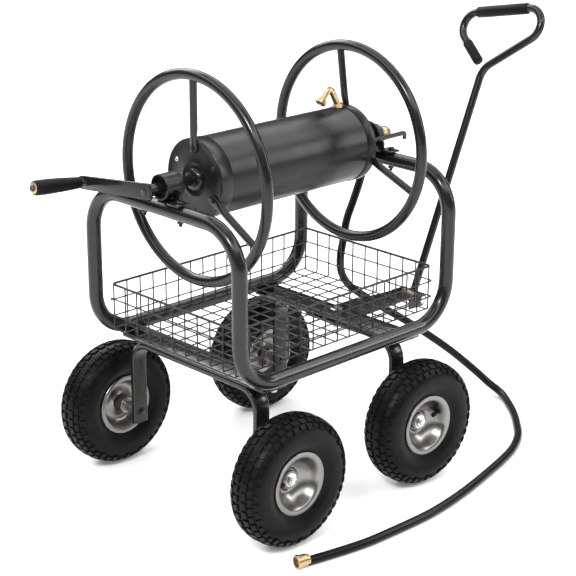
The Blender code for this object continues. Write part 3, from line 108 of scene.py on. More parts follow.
# Name, spot, point aimed at, width, height and watts.
SOFTBOXES = (("key", (-2.6, -1.2, 2.9), (0.0, 0.0, 0.4), 0.6, 0.6, 62.0),
             ("fill", (2.4, -2.4, 1.8), (0.0, 0.0, 0.4), 0.6, 1.6, 28.0),
             ("back", (0.6, 3.0, 2.6), (0.0, 0.0, 0.4), 2.4, 1.4, 46.0),
             ("top", (0.0, 0.2, 3.4), (0.0, 0.0, 0.0), 2.2, 2.2, 26.0))
# Height up the surround, from 0 below to 1 above, and its brightness: the bright band
# behind the cart whitens the background and leaves the reflections dark.
SKY_STOPS = ((0.05, 0.01), (0.52, 0.06), (0.64, 1.0), (0.72, 1.0), (0.82, 0.09), (1.0, 0.09))
SKY_STRENGTH = 4.2


def softbox(name, spot, target, width, height, power):
    """Rectangular studio light aimed at a point."""
    lamp = bpy.data.lights.new(name, "AREA")
    lamp.shape = "RECTANGLE"
    lamp.size, lamp.size_y, lamp.energy = width, height, power
    holder = add_object(name, lamp)
    holder.location = spot
    aim = Vector(target) - Vector(spot)
    holder.rotation_euler = aim.to_track_quat("-Z", "Y").to_euler()


def light_studio():
    """White surround with a soft key from the upper left."""
    scene = bpy.context.scene
    scene.world = bpy.data.worlds.new("studio")
    scene.world.use_nodes = True
    tree = scene.world.node_tree
    tree.nodes.clear()
    out, split, ramp, coords = (add_node(tree, kind) for kind in
                                ("OutputWorld", "SeparateXYZ", "ValToRGB", "TexCoord"))
    back = add_node(tree, "Background", Strength=SKY_STRENGTH)
    stops = ramp.color_ramp.elements
    stops[0].position, stops[1].position = SKY_STOPS[0][0], SKY_STOPS[-1][0]
    for height, _ in SKY_STOPS[1:-1]:
        stops.new(height)
    for stop, (_, level) in zip(stops, SKY_STOPS):
        stop.color = (*grey(level), 1.0)
    tree.links.new(coords.outputs["Generated"], split.inputs[0])
    tree.links.new(split.outputs["Z"], ramp.inputs[0])
    tree.links.new(ramp.outputs["Color"], back.inputs["Color"])
    tree.links.new(back.outputs[0], out.inputs[0])
    for values in SOFTBOXES:
        softbox(*values)
    view = scene.view_settings
    view.view_transform, view.look, view.exposure, view.gamma = "Standard", "None", 0.0, 1.0


# ---- materials

FLOOR_GLOW = 0.15


def grey(level):
    return (level, level, level)


def add_node(tree, kind, **values):
    """Shader node with its inputs set, their names written with underscores."""
    node = tree.nodes.new("ShaderNode" + kind)
    for key, value in values.items():
        node.inputs[key.replace("_", " ")].default_value = value
    return node


def noise_field(tree, scale):
    """Noise in object coordinates."""
    noise = add_node(tree, "TexNoise", Scale=scale, Detail=4.0, Roughness=0.55)
    tree.links.new(add_node(tree, "TexCoord").outputs["Object"], noise.inputs["Vector"])
    return noise.outputs["Fac"]


def make_finish(name, metallic, specular, colour, rough, bump=None, coat=None, spread=(0.3, 0.7)):
    """Principled material built from procedural noise.

    colour and rough hold a noise scale, a low and a high value; bump holds a noise
    scale, a strength and a distance; coat holds a weight and a roughness.
    """
    material = bpy.data.materials.new(name)
    material.use_nodes = True
    tree = material.node_tree
    shader = tree.nodes["Principled BSDF"].inputs
    shader["Metallic"].default_value = metallic
    shader["Specular IOR Level"].default_value = specular
    ramp = add_node(tree, "ValToRGB")
    for stop, position, tone in zip(ramp.color_ramp.elements, spread, colour[1:]):
        stop.position = position
        stop.color = (*tone, 1.0)
    tree.links.new(noise_field(tree, colour[0]), ramp.inputs[0])
    tree.links.new(ramp.outputs["Color"], shader["Base Color"])
    span = add_node(tree, "MapRange", From_Min=0.3, From_Max=0.7, To_Min=rough[1], To_Max=rough[2])
    tree.links.new(noise_field(tree, rough[0]), span.inputs["Value"])
    tree.links.new(span.outputs["Result"], shader["Roughness"])
    if bump:
        relief = add_node(tree, "Bump", Strength=bump[1], Distance=bump[2])
        tree.links.new(noise_field(tree, bump[0]), relief.inputs["Height"])
        tree.links.new(relief.outputs["Normal"], shader["Normal"])
    if coat:
        shader["Coat Weight"].default_value, shader["Coat Roughness"].default_value = coat
    return material


# What make_finish takes, by the short name of the finish.
FINISH_VALUES = {
    "coat": ("gunmetal_powder_coat", 0.55, 0.3, (900.0, (0.016, 0.0158, 0.0151), (0.022, 0.0216, 0.0206)),
             (60.0, 0.24, 0.3), (500.0, 0.03, 0.0003), (0.35, 0.1)),
    "drum": ("satin_black_paint", 0.15, 0.34, (40.0, grey(0.007), grey(0.011)), (30.0, 0.26, 0.34),
             (500.0, 0.1, 0.0003)),
    "tyre": ("tyre_rubber", 0.0, 0.11, (35.0, grey(0.003), (0.006, 0.006, 0.0056)), (120.0, 0.32, 0.46),
             (380.0, 0.2, 0.0006)),
    "rim": ("galvanised_steel", 1.0, 0.5, (25.0, (0.2, 0.197, 0.188), (0.27, 0.263, 0.253)),
            (40.0, 0.26, 0.34), None, None, (0.1, 0.9)),
    "zinc": ("zinc_plate", 1.0, 0.5, (300.0, grey(0.6), (0.8, 0.8, 0.79)), (400.0, 0.22, 0.36),
             (600.0, 0.06, 0.0002)),
    "yellow": ("yellow_zinc_plate", 1.0, 0.5, (220.0, (0.09, 0.075, 0.045), (0.15, 0.13, 0.085)),
               (300.0, 0.32, 0.46), (500.0, 0.06, 0.0002)),
    "brass": ("brass", 1.0, 0.5, (160.0, (0.42, 0.3, 0.16), (0.68, 0.52, 0.32)), (260.0, 0.26, 0.4),
              (420.0, 0.08, 0.0003)),
    "hose": ("hose_rubber", 0.0, 0.12, (60.0, grey(0.003), grey(0.005)), (90.0, 0.24, 0.36),
             (240.0, 0.1, 0.0004), (0.1, 0.2)),
    "grip": ("grip_rubber", 0.0, 0.14, (300.0, grey(0.003), grey(0.006)), (400.0, 0.4, 0.58),
             (900.0, 0.3, 0.0006)),
    "wire": ("coated_wire", 0.1, 0.5, (500.0, grey(0.008), grey(0.016)), (300.0, 0.34, 0.5),
             (900.0, 0.1, 0.0002)),
    "floor": ("pale_floor", 0.0, 0.2, (2.0, grey(0.95), grey(0.97)), (3.0, 0.85, 0.95)),
}
SMOOTH_ANGLE = radians(35)
BEVEL_ANGLE = radians(40)


# ---- mesh helpers

def mm(*points):
    """Points written in millimetres."""
    return [tuple(value * 0.001 for value in point) for point in points]


def merge(*parts):
    """Put several shells into one."""
    verts, faces = [], []
    for more_verts, more_faces in parts:
        start = len(verts)
        verts += more_verts
        faces += [tuple(i + start for i in face) for face in more_faces]
    return verts, faces


def side_vectors(axis):
    lead = Z if abs(axis.z) < 0.9 else X
    first = axis.cross(lead).normalized()
    return first, axis.cross(first).normalized()


def swing(first, second, turn):
    """Direction turned from first towards second."""
    return first * cos(turn) + second * sin(turn)


def arc(centre, first, second, start, stop, steps):
    """Points round a centre, from one angle in degrees to another."""
    return [centre + swing(first, second, radians(start + (stop - start) * step / steps))
            for step in range(steps + 1)]


def band(near, far):
    """Quads between two loops."""
    count = len(near)
    return [(near[k], near[(k + 1) % count], far[(k + 1) % count], far[k]) for k in range(count)]


def fan(tip, loop):
    """Triangles from a tip to a loop."""
    return [(tip, loop[k - 1], loop[k]) for k in range(len(loop))]


def lathe(centre, axis, profile, segments):
    """Turn a profile of (along, radius) points round an axis."""
    base, axis = Vector(centre), Vector(axis)
    first, second = side_vectors(axis)
    verts, rings, faces = [], [], []
    for along, radius in profile:
        sides = 1 if radius == 0.0 else segments
        rings.append(range(len(verts), len(verts) + sides))
        verts += [base + axis * along + swing(first, second, FULL_TURN * step / sides) * radius
                  for step in range(sides)]
    pairs = list(zip(rings, rings[1:]))
    if len(rings[0]) > 1:
        pairs.append((rings[-1], rings[0]))
    for near, far in pairs:
        if len(near) == 1:
            faces += fan(near[0], far)
        elif len(far) == 1:
            faces += fan(far[0], near)
        else:
            faces += band(near, far)
    return verts, faces


def rod(start, end, radius, segments=24, edge=0.0006):
    """Round bar with softened ends."""
    begin = Vector(start)
    reach = Vector(end) - begin
    length = reach.length
    edge = min(edge, radius * 0.4, length * 0.3)
    profile = [(0.0, 0.0), (0.0, radius - edge), (edge, radius), (length - edge, radius),
               (length, radius - edge), (length, 0.0)]
    return lathe(begin, reach.normalized(), profile, segments)


def hex_nut(centre, axis, across, height):
    """Six sided nut or bolt head with chamfered corners, standing on its centre."""
    base, axis = Vector(centre), Vector(axis).normalized()
    first, second = side_vectors(axis)
    flat = across / 2.0
    corner = flat / cos(pi / 6.0)
    verts, rings = [base, base + axis * height], []
    for along, grow in ((0.0, 1.0), (height * 0.8, 1.0), (height, 0.86)):
        rings.append(range(len(verts), len(verts) + 12))
        for step in range(12):
            reach = (flat if step % 2 else corner) * grow
            verts.append(base + axis * along + swing(first, second, FULL_TURN * step / 12.0) * reach)
    bottom, shoulder, top = rings
    return verts, fan(0, bottom) + band(bottom, shoulder) + band(shoulder, top) + fan(1, top)


def washer_nut(seat, aim, washer, across, height, segments=24, edge=0.0002):
    """Washer of a radius and a thickness, with a nut or a bolt head on it."""
    radius, thick = washer
    top = Vector(seat) + aim * thick
    return merge(rod(seat, top, radius, segments, edge), hex_nut(top, aim, across, height))


def threads(start, end, radius, pitch=0.0011, segments=20):
    """Threaded rod, drawn as close rings."""
    begin = Vector(start)
    reach = Vector(end) - begin
    length = reach.length
    count = max(2, int(length / pitch))
    profile = [(0.0, 0.0), (0.0, radius * 0.86)]
    for step in range(count):
        profile.append(((step + 0.25) * length / count, radius * 0.86))
        profile.append(((step + 0.75) * length / count, radius))
    profile += [(length, radius * 0.86), (length, 0.0)]
    return lathe(begin, reach.normalized(), profile, segments)


def prism(outline, lift):
    """Push a flat outline along a vector."""
    count = len(outline)
    near, far = range(count), range(count, 2 * count)
    verts = [Vector(p) for p in outline] + [Vector(p) + lift for p in outline]
    return verts, [tuple(near), tuple(far)] + band(near, far)


def u_shape(x, half, end_z, middle_z):
    """Corners of a U across the cart."""
    return [(x, -half, end_z), (x, -half, middle_z), (x, half, middle_z), (x, half, end_z)]


def block(low, high):
    outline = [(low[0], low[1], low[2]), (high[0], low[1], low[2]), (high[0], high[1], low[2]),
               (low[0], high[1], low[2])]
    return prism(outline, Z * (high[2] - low[2]))


def round_corners(corners, radii, steps, closed=False):
    """Replace the corners of a bent line by arcs."""
    points = []
    count = len(corners)
    for index, corner in enumerate(corners):
        here = Vector(corner)
        if (not closed and index in (0, count - 1)) or radii[index] == 0.0:
            points.append(here)
            continue
        back = (Vector(corners[index - 1]) - here).normalized()
        ahead = (Vector(corners[(index + 1) % count]) - here).normalized()
        half = back.angle(ahead) / 2.0
        trim = radii[index] / tan(half)
        centre = here + (back + ahead).normalized() * (radii[index] / sin(half))
        start = here + back * trim - centre
        end = here + ahead * trim - centre
        bend = start.angle(end)
        for step in range(steps + 1):
            part = step / steps
            mixed = start * sin((1.0 - part) * bend) + end * sin(part * bend)
            points.append(centre + mixed / sin(bend))
    return points


def circle(radius, sides):
    return [(radius * cos(FULL_TURN * k / sides), radius * sin(FULL_TURN * k / sides))
            for k in range(sides)]


def rounded_bar(half_width, half_thick, edge, steps=3):
    """Section of a flat bar with rounded edges."""
    section = []
    for cx, cy, turn in ((1, 1, 0.0), (-1, 1, 90.0), (-1, -1, 180.0), (1, -1, 270.0)):
        for step in range(steps + 1):
            angle = radians(turn + 90.0 * step / steps)
            section.append((cx * (half_width - edge) + edge * cos(angle),
                            cy * (half_thick - edge) + edge * sin(angle)))
    return section


def mitre(path, index, closed):
    if not closed and index in (0, len(path) - 1):
        return Matrix.Identity(3)
    back = (path[index] - path[index - 1]).normalized()
    ahead = (path[(index + 1) % len(path)] - path[index]).normalized()
    bend = back.angle(ahead)
    if bend < 1e-6:
        return Matrix.Identity(3)
    return Matrix.Scale(1.0 / cos(bend / 2.0), 3, (ahead - back).normalized())

def sweep(path, section, closed=False, lead=None, taper=None):
    """Carry a section along a path without twisting it."""
    path = [Vector(p) for p in path]
    count, size = len(path), len(section)
    tangents = []
    for index in range(count):
        before = path[index - 1] if closed or index else path[0]
        after = path[(index + 1) % count] if closed or index < count - 1 else path[-1]
        tangents.append((after - before).normalized())
    side = lead or side_vectors(tangents[0])[0]
    sides = []
    for tangent in tangents:
        side = (side - tangent * side.dot(tangent)).normalized()
        sides.append(side)
    twist = 0.0
    if closed:
        last = (side - tangents[0] * side.dot(tangents[0])).normalized()
        twist = atan2(last.cross(sides[0]).dot(tangents[0]), last.dot(sides[0]))
    verts, faces, rings = [], [], []
    for index, point in enumerate(path):
        across = Matrix.Rotation(twist * index / count, 3, tangents[index]) @ sides[index]
        up = tangents[index].cross(across)
        stretch = mitre(path, index, closed)
        wide, thick = taper[index] if taper else (1.0, 1.0)
        rings.append(range(len(verts), len(verts) + size))
        verts += [point + stretch @ (across * (u * wide) + up * (v * thick)) for u, v in section]
    for near, far in zip(rings, rings[1:] + rings[:1] if closed else rings[1:]):
        faces += band(near, far)
    if not closed:
        faces += [tuple(rings[0]), tuple(rings[-1])]
    return verts, faces


def raw_object(name, verts, faces, place):
    """Mesh object with its faces turned outwards."""
    mesh = bpy.data.meshes.new(name)
    mesh.from_pydata([tuple(TO_ROW @ place @ v) for v in verts], [], faces)
    work = bmesh.new()
    work.from_mesh(mesh)
    bmesh.ops.recalc_face_normals(work, faces=work.faces)
    work.to_mesh(mesh)
    work.free()
    return add_object(name, mesh)


def apply_modifier(obj, kind, **settings):
    modifier = obj.modifiers.new(kind.lower(), kind)
    for key, value in settings.items():
        setattr(modifier, key, value)
    graph = bpy.context.evaluated_depsgraph_get()
    result = bpy.data.meshes.new_from_object(obj.evaluated_get(graph))
    obj.modifiers.clear()
    obj.data = result


def piece(name, geometry, finish, body, replaced=None, place=IN_PLACE, bevel=0.0, cut=()):
    """Make one visible piece that rides on a CAD body."""
    obj = raw_object(name, *geometry, place)
    for tool_geometry in cut:
        tool = raw_object(name + "_tool", *tool_geometry, place)
        apply_modifier(obj, "BOOLEAN", operation="DIFFERENCE", solver="EXACT", object=tool)
        bpy.data.objects.remove(tool, do_unlink=True)
    if bevel:
        apply_modifier(obj, "BEVEL", width=bevel, segments=2, limit_method="ANGLE",
                       angle_limit=BEVEL_ANGLE, harden_normals=False)
    obj.data.materials.clear()
    obj.data.materials.append(FINISHES[finish])
    for face in obj.data.polygons:
        face.use_smooth = True
        face.material_index = 0
    obj.data.set_sharp_from_angle(angle=SMOOTH_ANGLE)
    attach(obj, body)
    if replaced:
        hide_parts(replaced)
    return obj


# ---- chassis

PLATE_THICKNESS = 0.005
PLATE_HALF_LENGTH = 0.206
PLATE_CORNER_R = 0.008
CRANK_PLATE_X = (-0.22, -0.16)
HANDLE_PLATE_X = (0.139, 0.206)
PLATE_TOP_Z = FRAME_BOTTOM_Z - FRAME_TUBE_R - GAP
PLATE_SEAT_Z = PLATE_TOP_Z - PLATE_THICKNESS - GAP
RAIL_BOLT_X = 0.19
RAIL_BOLT_Y = 0.197
TONGUE_THICKNESS = 0.004
TONGUE_BOTTOM_Z = PLATE_SEAT_Z - TONGUE_THICKNESS
BEAM_LEG_Y = 0.177
BEAM_FOOT_Z = 0.104
BEAM_BEND_R = 0.042
BEAM_HALF_WIDTH = 0.017
BEAM_HALF_THICK = 0.006


def chassis():
    """Tube frame, cross plates, axle beams and the bolts that tie them."""
    side = [(-FRAME_HALF_LENGTH, FRAME_TOP_Z), (-FRAME_HALF_LENGTH, FRAME_BOTTOM_Z),
            (FRAME_HALF_LENGTH, FRAME_BOTTOM_Z), (FRAME_HALF_LENGTH, FRAME_TOP_Z)]
    corners = [(x, -FRAME_HALF_WIDTH, z) for x, z in side]
    corners += [(x, FRAME_HALF_WIDTH, z) for x, z in reversed(side)]
    path = round_corners(corners, [FRAME_BEND_R] * 8, 16, closed=True)
    piece("frame_tube", sweep(path, circle(FRAME_TUBE_R, 36), closed=True), "coat", "chassis",
          "frame_loop")
    plate("crank_plate", CRANK_PLATE_X, "crank_cross_plate")
    plate("handle_plate", HANDLE_PLATE_X, "handle_cross_plate")
    for end, x in (("crank", -RAIL_BOLT_X), ("handle", RAIL_BOLT_X)):
        rail_bolt(end + "_near", x, -RAIL_BOLT_Y)
        rail_bolt(end + "_far", x, RAIL_BOLT_Y)
    beam("crank_beam", CRANK_AXLE_X, PLATE_SEAT_Z, "chassis", "crank_axle_beam", IN_PLACE)
    beam("steered_beam", STEER_AXLE_X, TONGUE_BOTTOM_Z - GAP, "steering", "steer_axle_beam", STEERED)


def plate(name, span, node):
    """Flat cross plate with rounded corners."""
    middle, half = (span[1] + span[0]) / 2.0, (span[1] - span[0]) / 2.0
    outline = [(middle + x, y, PLATE_TOP_Z - PLATE_THICKNESS)
               for x, y in rounded_bar(half, PLATE_HALF_LENGTH, PLATE_CORNER_R, 4)]
    piece(name, prism(outline, Z * PLATE_THICKNESS), "coat", "chassis", node, bevel=0.0008)


def rail_bolt(label, x, y):
    """Bolt from below through the plate into the rail."""
    seat = (x, y, PLATE_SEAT_Z)
    parts = [washer_nut(seat, -Z, (0.007, 0.001), 0.012, 0.004),
             rod(seat, (x, y, PLATE_TOP_Z + 0.014), 0.0038, 16, 0.0)]
    piece("rail_bolt_zinc_" + label, merge(*parts), "zinc", "chassis", "rail_bolt_" + label)


def beam(name, x, top_z, body, node, place):
    """Flat bar bent to an inverted U."""
    corners = u_shape(x, BEAM_LEG_Y, BEAM_FOOT_Z, top_z - BEAM_HALF_THICK)
    path = round_corners(corners, [0.0, BEAM_BEND_R, BEAM_BEND_R, 0.0], 12)
    section = rounded_bar(BEAM_HALF_WIDTH, BEAM_HALF_THICK, 0.0035)
    piece(name, sweep(path, section, lead=X), "coat", body, node, place)


# ---- wheels

TREAD_ROWS = 42
TREAD_TRIM = 0.07
TREAD_COLUMNS = 4
CARCASS_CORE_R = 0.091
HUB_INNER = -0.0343
HUB_OUTER = 0.0043
VALVE_ANGLES = {"crank_far": 100.0, "crank_near": 175.0, "handle_far": 250.0, "handle_near": 18.0}


def tyre_section(offset_share):
    """Outer surface of the carcass: side offset and radius, share from -1 to 1."""
    turn = offset_share * radians(118)
    power = 0.8
    side = copysign(abs(sin(turn)) ** power, turn) if turn else 0.0
    rise = copysign(abs(cos(turn)) ** power, cos(turn))
    return 0.037 * side, CARCASS_CORE_R + 0.032 * rise


def carcass(centre):
    """Smooth carcass with its beads."""
    steps = 36
    outer = [tyre_section(1.0 - 2.0 * step / steps) for step in range(steps + 1)]
    bead = mm((-27.5, 64.5), (-27, 60), (-26.2, 52.5), (-19, 52.5), (0, 60), (19, 52.5), (26.2, 52.5),
              (27, 60), (27.5, 64.5))
    rings = [(offset, radius) for offset, radius in outer if radius > 0.066]
    return lathe(centre, Y, rings + bead, 96)


def surface_point(centre, share, angle, lift):
    """Point standing off the carcass surface."""
    spot = Vector(tyre_section(share))
    along = Vector(tyre_section(share + 0.01)) - Vector(tyre_section(share - 0.01))
    normal = Vector((-along.y, along.x)).normalized()
    if normal.dot(spot - Vector((0.0, 0.09))) <= 0.0:
        normal = -normal
    offset, radius = spot + normal * lift
    return Vector(centre) + Y * offset + swing(X, Z, angle) * radius


def spaced(low, high, trim, count):
    """Even steps between two values, drawn in at both ends by a share of the span."""
    inset = (high - low) * trim
    return [low + inset + (high - low - 2.0 * inset) * step / count for step in range(count + 1)]


def tread_block(centre, shares, angles, height, skew=0.0):
    """Rubber block wrapped on the carcass, two rows long."""
    verts, grids = [], []
    for lift, trim in ((-0.001, 0.0), (height * 0.75, 0.0), (height, TREAD_TRIM)):
        grid = []
        for column, share in enumerate(spaced(*shares, trim, TREAD_COLUMNS)):
            lean = skew * (column / TREAD_COLUMNS - 0.5)
            grid.append(range(len(verts), len(verts) + 3))
            verts += [surface_point(centre, share, angle + lean, lift)
                      for angle in spaced(*angles, trim, 2)]
        grids.append(grid)
    faces = []
    for grid in (grids[2], grids[0]):
        for near, far in zip(grid, grid[1:]):
            faces += [(near[0], far[0], far[1], near[1]), (near[1], far[1], far[2], near[2])]
    for low, high in zip(grids, grids[1:]):
        faces += band(edge_loop(low), edge_loop(high))
    return verts, faces


def edge_loop(grid):
    """Corners round a grid of three points to a line."""
    back = list(reversed(grid))
    return [line[0] for line in grid] + [grid[-1][1]] + [line[2] for line in back] + [grid[0][1]]


def tyre_geometry(centre):
    """Carcass with two staggered rows of blocks and a shoulder lug row on each side."""
    parts = [carcass(centre)]
    pitch = FULL_TURN / TREAD_ROWS
    for index in range(TREAD_ROWS):
        shoulder = 0.555 if index % 2 else 0.5
        for side in (-1.0, 1.0):
            base = (index + (0.5 if side > 0 else 0.0)) * pitch
            for inner, outer, start, stop, height, skew in ((0.165, 0.03, 0.12, 0.84, 0.0032, 0.1),
                                                            (0.345, 0.2, 0.55, 1.3, 0.0034, -0.1),
                                                            (shoulder, 0.385, 0.08, 0.74, 0.0036, 0.0)):
                shares = sorted((side * inner, side * outer))
                angles = (base + start * pitch, base + stop * pitch)
                parts.append(tread_block(centre, shares, angles, height, side * skew * pitch))
    for side in (-1.0, 1.0):
        for radius, offset in ((0.069, 0.0286), (0.0745, 0.0322)):
            ring = [(side * offset + 0.0012 * x, radius + 0.0009 * y) for x, y in circle(1.0, 8)]
            parts.append(lathe(centre, Y, ring, 96))
    return merge(*parts)


def rim_geometry(centre, outward):
    """Pressed rim with a rolled flange, a deep smooth bowl, a flat hub plate and a hub tube."""
    flange = mm((12, 49.2), (18, 50.5), (26.2, 52.8), (26.8, 59), (27.4, 60.6), (28.6, 61.2),
                (29.6, 60.4), (29.8, 58), (29.2, 54.5), (28.4, 51.5))
    bowl_out = mm((26.2, 49.2), (21.5, 46.8), (16, 44.4), (10.5, 41.2), (6.2, 37.4), (3.2, 33.8),
                  (1.2, 30.5), (-0.4, 27.5), (-1.2, 25), (-1.4, 23.2), (0, 22.2), (0.6, 21.2),
                  (0, 20.2), (-1.4, 19.2), (-1.4, 17.6), (2.4, 17.4), (3.8, 16.4), (4, 8.3))
    bowl_in = mm((-34, 8.3), (-33.8, 16), (-31.5, 17.2), (-11, 17.6), (-9, 20), (-7, 25), (-5, 31),
                 (-5, 35), (-7.5, 40), (-12, 44), (-18, 46.6), (-24, 48.2), (-28.4, 51.5))
    back = [(-offset, radius) for offset, radius in reversed(flange[:-1])]
    turned = [(outward * offset, radius) for offset, radius in flange + bowl_out + bowl_in + back]
    return lathe(centre, Y, turned, 80)


def valve_geometry(centre, outward, angle):
    """Rubber valve stem with a cap, leaning in over the bowl."""
    radial = swing(X, Z, angle)
    base = Vector(centre) + Y * outward * 0.014
    foot = base + radial * 0.048
    tip = base + radial * 0.027
    return merge(rod(foot, tip, 0.004, 16, 0.0004),
                 rod(foot, foot - radial * 0.006, 0.0056, 16, 0.0012),
                 rod(tip + radial * 0.009, tip, 0.0046, 12, 0.0008))


def axle_geometry(centre, outward):
    """Axle bolt with its washers and lock nut, and the head with its washer."""
    leg = BEAM_LEG_Y - abs(centre[1])
    reach = BEAM_HALF_THICK + GAP
    aim = Y * outward
    leg_in, leg_out, hub_in, hub_out = (Vector(centre) + aim * along for along in
                                        (leg - reach, leg + reach, HUB_INNER, HUB_OUTER))
    bolt = merge(rod(leg_in, hub_out + aim * 0.001, 0.0078, 24, 0.0),
                 rod(leg_out, hub_in, 0.0115, 28, 0.0005),
                 washer_nut(hub_out, aim, (0.0135, 0.0014), 0.019, 0.0056, 28, 0.0003),
                 threads(hub_out + aim * 0.0065, hub_out + aim * 0.0098, 0.0055))
    return bolt, washer_nut(leg_in, -aim, (0.0085, 0.001), 0.012, 0.0025, 28, 0.0003)


def wheels():
    """Four wheels and their axles."""
    axles = (("crank", CRANK_AXLE_X, CRANK_HALF_TRACK, "chassis", IN_PLACE),
             ("handle", STEER_AXLE_X, STEER_HALF_TRACK, "steering", STEERED))
    for (end, x, half_track, holder, place), (side, outward) in product(
            axles, (("_far", 1.0), ("_near", -1.0))):
        label = end + side
        centre = (x, outward * half_track, WHEEL_R)
        body = "wheel_" + label
        valve = valve_geometry(centre, outward, radians(VALVE_ANGLES[label]))
        axle, head = axle_geometry(centre, outward)
        piece("tyre_rubber_" + label, tyre_geometry(centre), "tyre", body, "tyre_" + label, place)
        piece("rim_steel_" + label, rim_geometry(centre, outward), "rim", body, "rim_" + label, place)
        piece("valve_" + label, valve, "tyre", body, "inner_tube_" + label, place)
        piece("axle_zinc_" + label, axle, "zinc", holder, "axle_bolt_" + label, place)
        piece("axle_head_" + label, head, "coat", holder, None, place)


# ---- steering and pull handle

KINGPIN_WASHER_DROP = 0.012
HANDLE_PIVOT = Vector((STEER_AXLE_X + 0.2207, 0.0, 0.2725))
HANDLE_LEAN = radians(22.2)
HANDLE_TUBE_R = 0.0083
LOOP_CENTRE = 0.6335
EAR_R = 0.015
# Corners of the handle loop from its centre: across, and along the stem.
LOOP_HIGH = (0.219, 0.043)
LOOP_LOW = (-0.133, -0.0275)
LOOP_END = (-0.018, -0.114)
FOAM_FROM, FOAM_TO = -0.058, 0.072


def handle_point(across, along):
    """Point of the pull handle: across its loop and along its stem."""
    stem = Vector((sin(HANDLE_LEAN), 0.0, cos(HANDLE_LEAN)))
    return HANDLE_PIVOT + stem * along - Y * across


def loop_point(pair):
    return handle_point(pair[0], LOOP_CENTRE + pair[1])


def tongue():
    """Tongue plate and the two ears that carry the handle."""
    back, front = STEER_AXLE_X - 0.045, STEER_AXLE_X + 0.197
    wide, narrow, z = 0.045, 0.0285, TONGUE_BOTTOM_Z
    outline = [(back, -wide, z), (STEER_AXLE_X, -wide, z), (front, -narrow, z),
               (front, narrow, z), (STEER_AXLE_X, wide, z), (back, wide, z)]
    piece("tongue_plate", prism(outline, Z * TONGUE_THICKNESS), "coat", "steering",
          "steer_tongue", STEERED, bevel=0.001)
    ears = []
    for side in (-1.0, 1.0):
        y = side * 0.0245
        root = front - 0.012
        profile = arc(HANDLE_PIVOT + Y * y, X * EAR_R, Z * EAR_R, -90.0, 90.0, 8)
        profile += [(root, y, HANDLE_PIVOT.z + EAR_R), (root, y, HANDLE_PIVOT.z - EAR_R)]
        ears.append(prism(profile, Y * side * 0.004))
    piece("tongue_ears", merge(*ears), "coat", "steering", None, STEERED, bevel=0.0006)


def kingpin():
    """Pin with its head over the plate, its washer and nut below the steered beam."""
    top = PIN_SPOT + Z * (PLATE_TOP_Z + GAP)
    under = PIN_SPOT + Z * (TONGUE_BOTTOM_Z - KINGPIN_WASHER_DROP - 2.0 * GAP)
    pin = merge(hex_nut(top, Z, 0.023, 0.007), rod(top, under, 0.008, 24, 0.0),
                washer_nut(under, -Z, (0.013, 0.0015), 0.022, 0.006, 28, 0.0003),
                threads(under - Z * 0.007, under - Z * 0.012, 0.007))
    piece("kingpin_zinc", pin, "zinc", "chassis", "kingpin", STEERED)


def pull_handle():
    """Bent tube with its pivot sleeve and bolt, foam sleeve and end cap."""
    corners = [handle_point(0.0, 0.0133), handle_point(0.0, 0.505), loop_point(LOOP_HIGH),
               loop_point(LOOP_LOW), loop_point(LOOP_END)]
    path = round_corners(corners, [0.0, 0.045, 0.035, 0.033, 0.0], 16)
    piece("handle_tube", sweep(path, circle(HANDLE_TUBE_R, 28)), "coat", "pull_handle",
          "pull_handle_tube", STEERED)
    sleeve = mm((-23.8, 5.3), (-23.8, 12.4), (-23.2, 13), (23.2, 13), (23.8, 12.4), (23.8, 5.3))
    piece("handle_sleeve", lathe(HANDLE_PIVOT, Y, sleeve, 36), "yellow", "pull_handle",
          "handle_pivot_sleeve", STEERED)
    near, far = HANDLE_PIVOT - Y * 0.0288, HANDLE_PIVOT + Y * 0.0288
    bolt = merge(rod(near, far, 0.005, 20, 0.0), hex_nut(near, -Y, 0.015, 0.0055),
                 hex_nut(far, Y, 0.015, 0.0055))
    piece("handle_bolt", bolt, "zinc", "steering", "handle_pivot_bolt", STEERED)
    slope = (LOOP_HIGH[1] - LOOP_LOW[1]) / (LOOP_HIGH[0] - LOOP_LOW[0])
    start, end = (loop_point((across, LOOP_LOW[1] + slope * (across - LOOP_LOW[0])))
                  for across in (FOAM_FROM, FOAM_TO))
    size = (end - start).length
    foam = [(0.0, 0.0086), (0.0004, 0.0106), (0.002, 0.0116), (size * 0.25, 0.0119),
            (size * 0.5, 0.0117), (size * 0.75, 0.0119), (size - 0.002, 0.0116),
            (size - 0.0004, 0.0106), (size, 0.0086)]
    piece("handle_foam", lathe(start, (end - start).normalized(), foam, 40), "grip", "pull_handle",
          "pull_handle_grip", STEERED)
    free = loop_point(LOOP_END)
    inward = (loop_point(LOOP_LOW) - free).normalized()
    cap = mm((-3.8, 0), (-3.6, 6.6), (-2.2, 9.6), (0, 10.7), (54, 10.8), (55.7, 10.2), (56, 8.6),
             (-0.3, 8.6), (-0.3, 0))
    piece("handle_end_cap", lathe(free, inward, cap, 28), "grip", "pull_handle", "pull_handle_cap",
          STEERED)


# ---- basket

BASKET_FROM_X, BASKET_TO_X, BASKET_HALF_WIDTH = -0.2602, 0.2622, 0.1732
BASKET_BOTTOM_Z, BASKET_TOP_Z = 0.319, 0.4115
WIRE_R = 0.0015
WIRE_STEP = 0.0026
WIRE_OVERHANG = 0.0055
WIRES_ALONG_X, WIRES_ALONG_Y = 16, 10


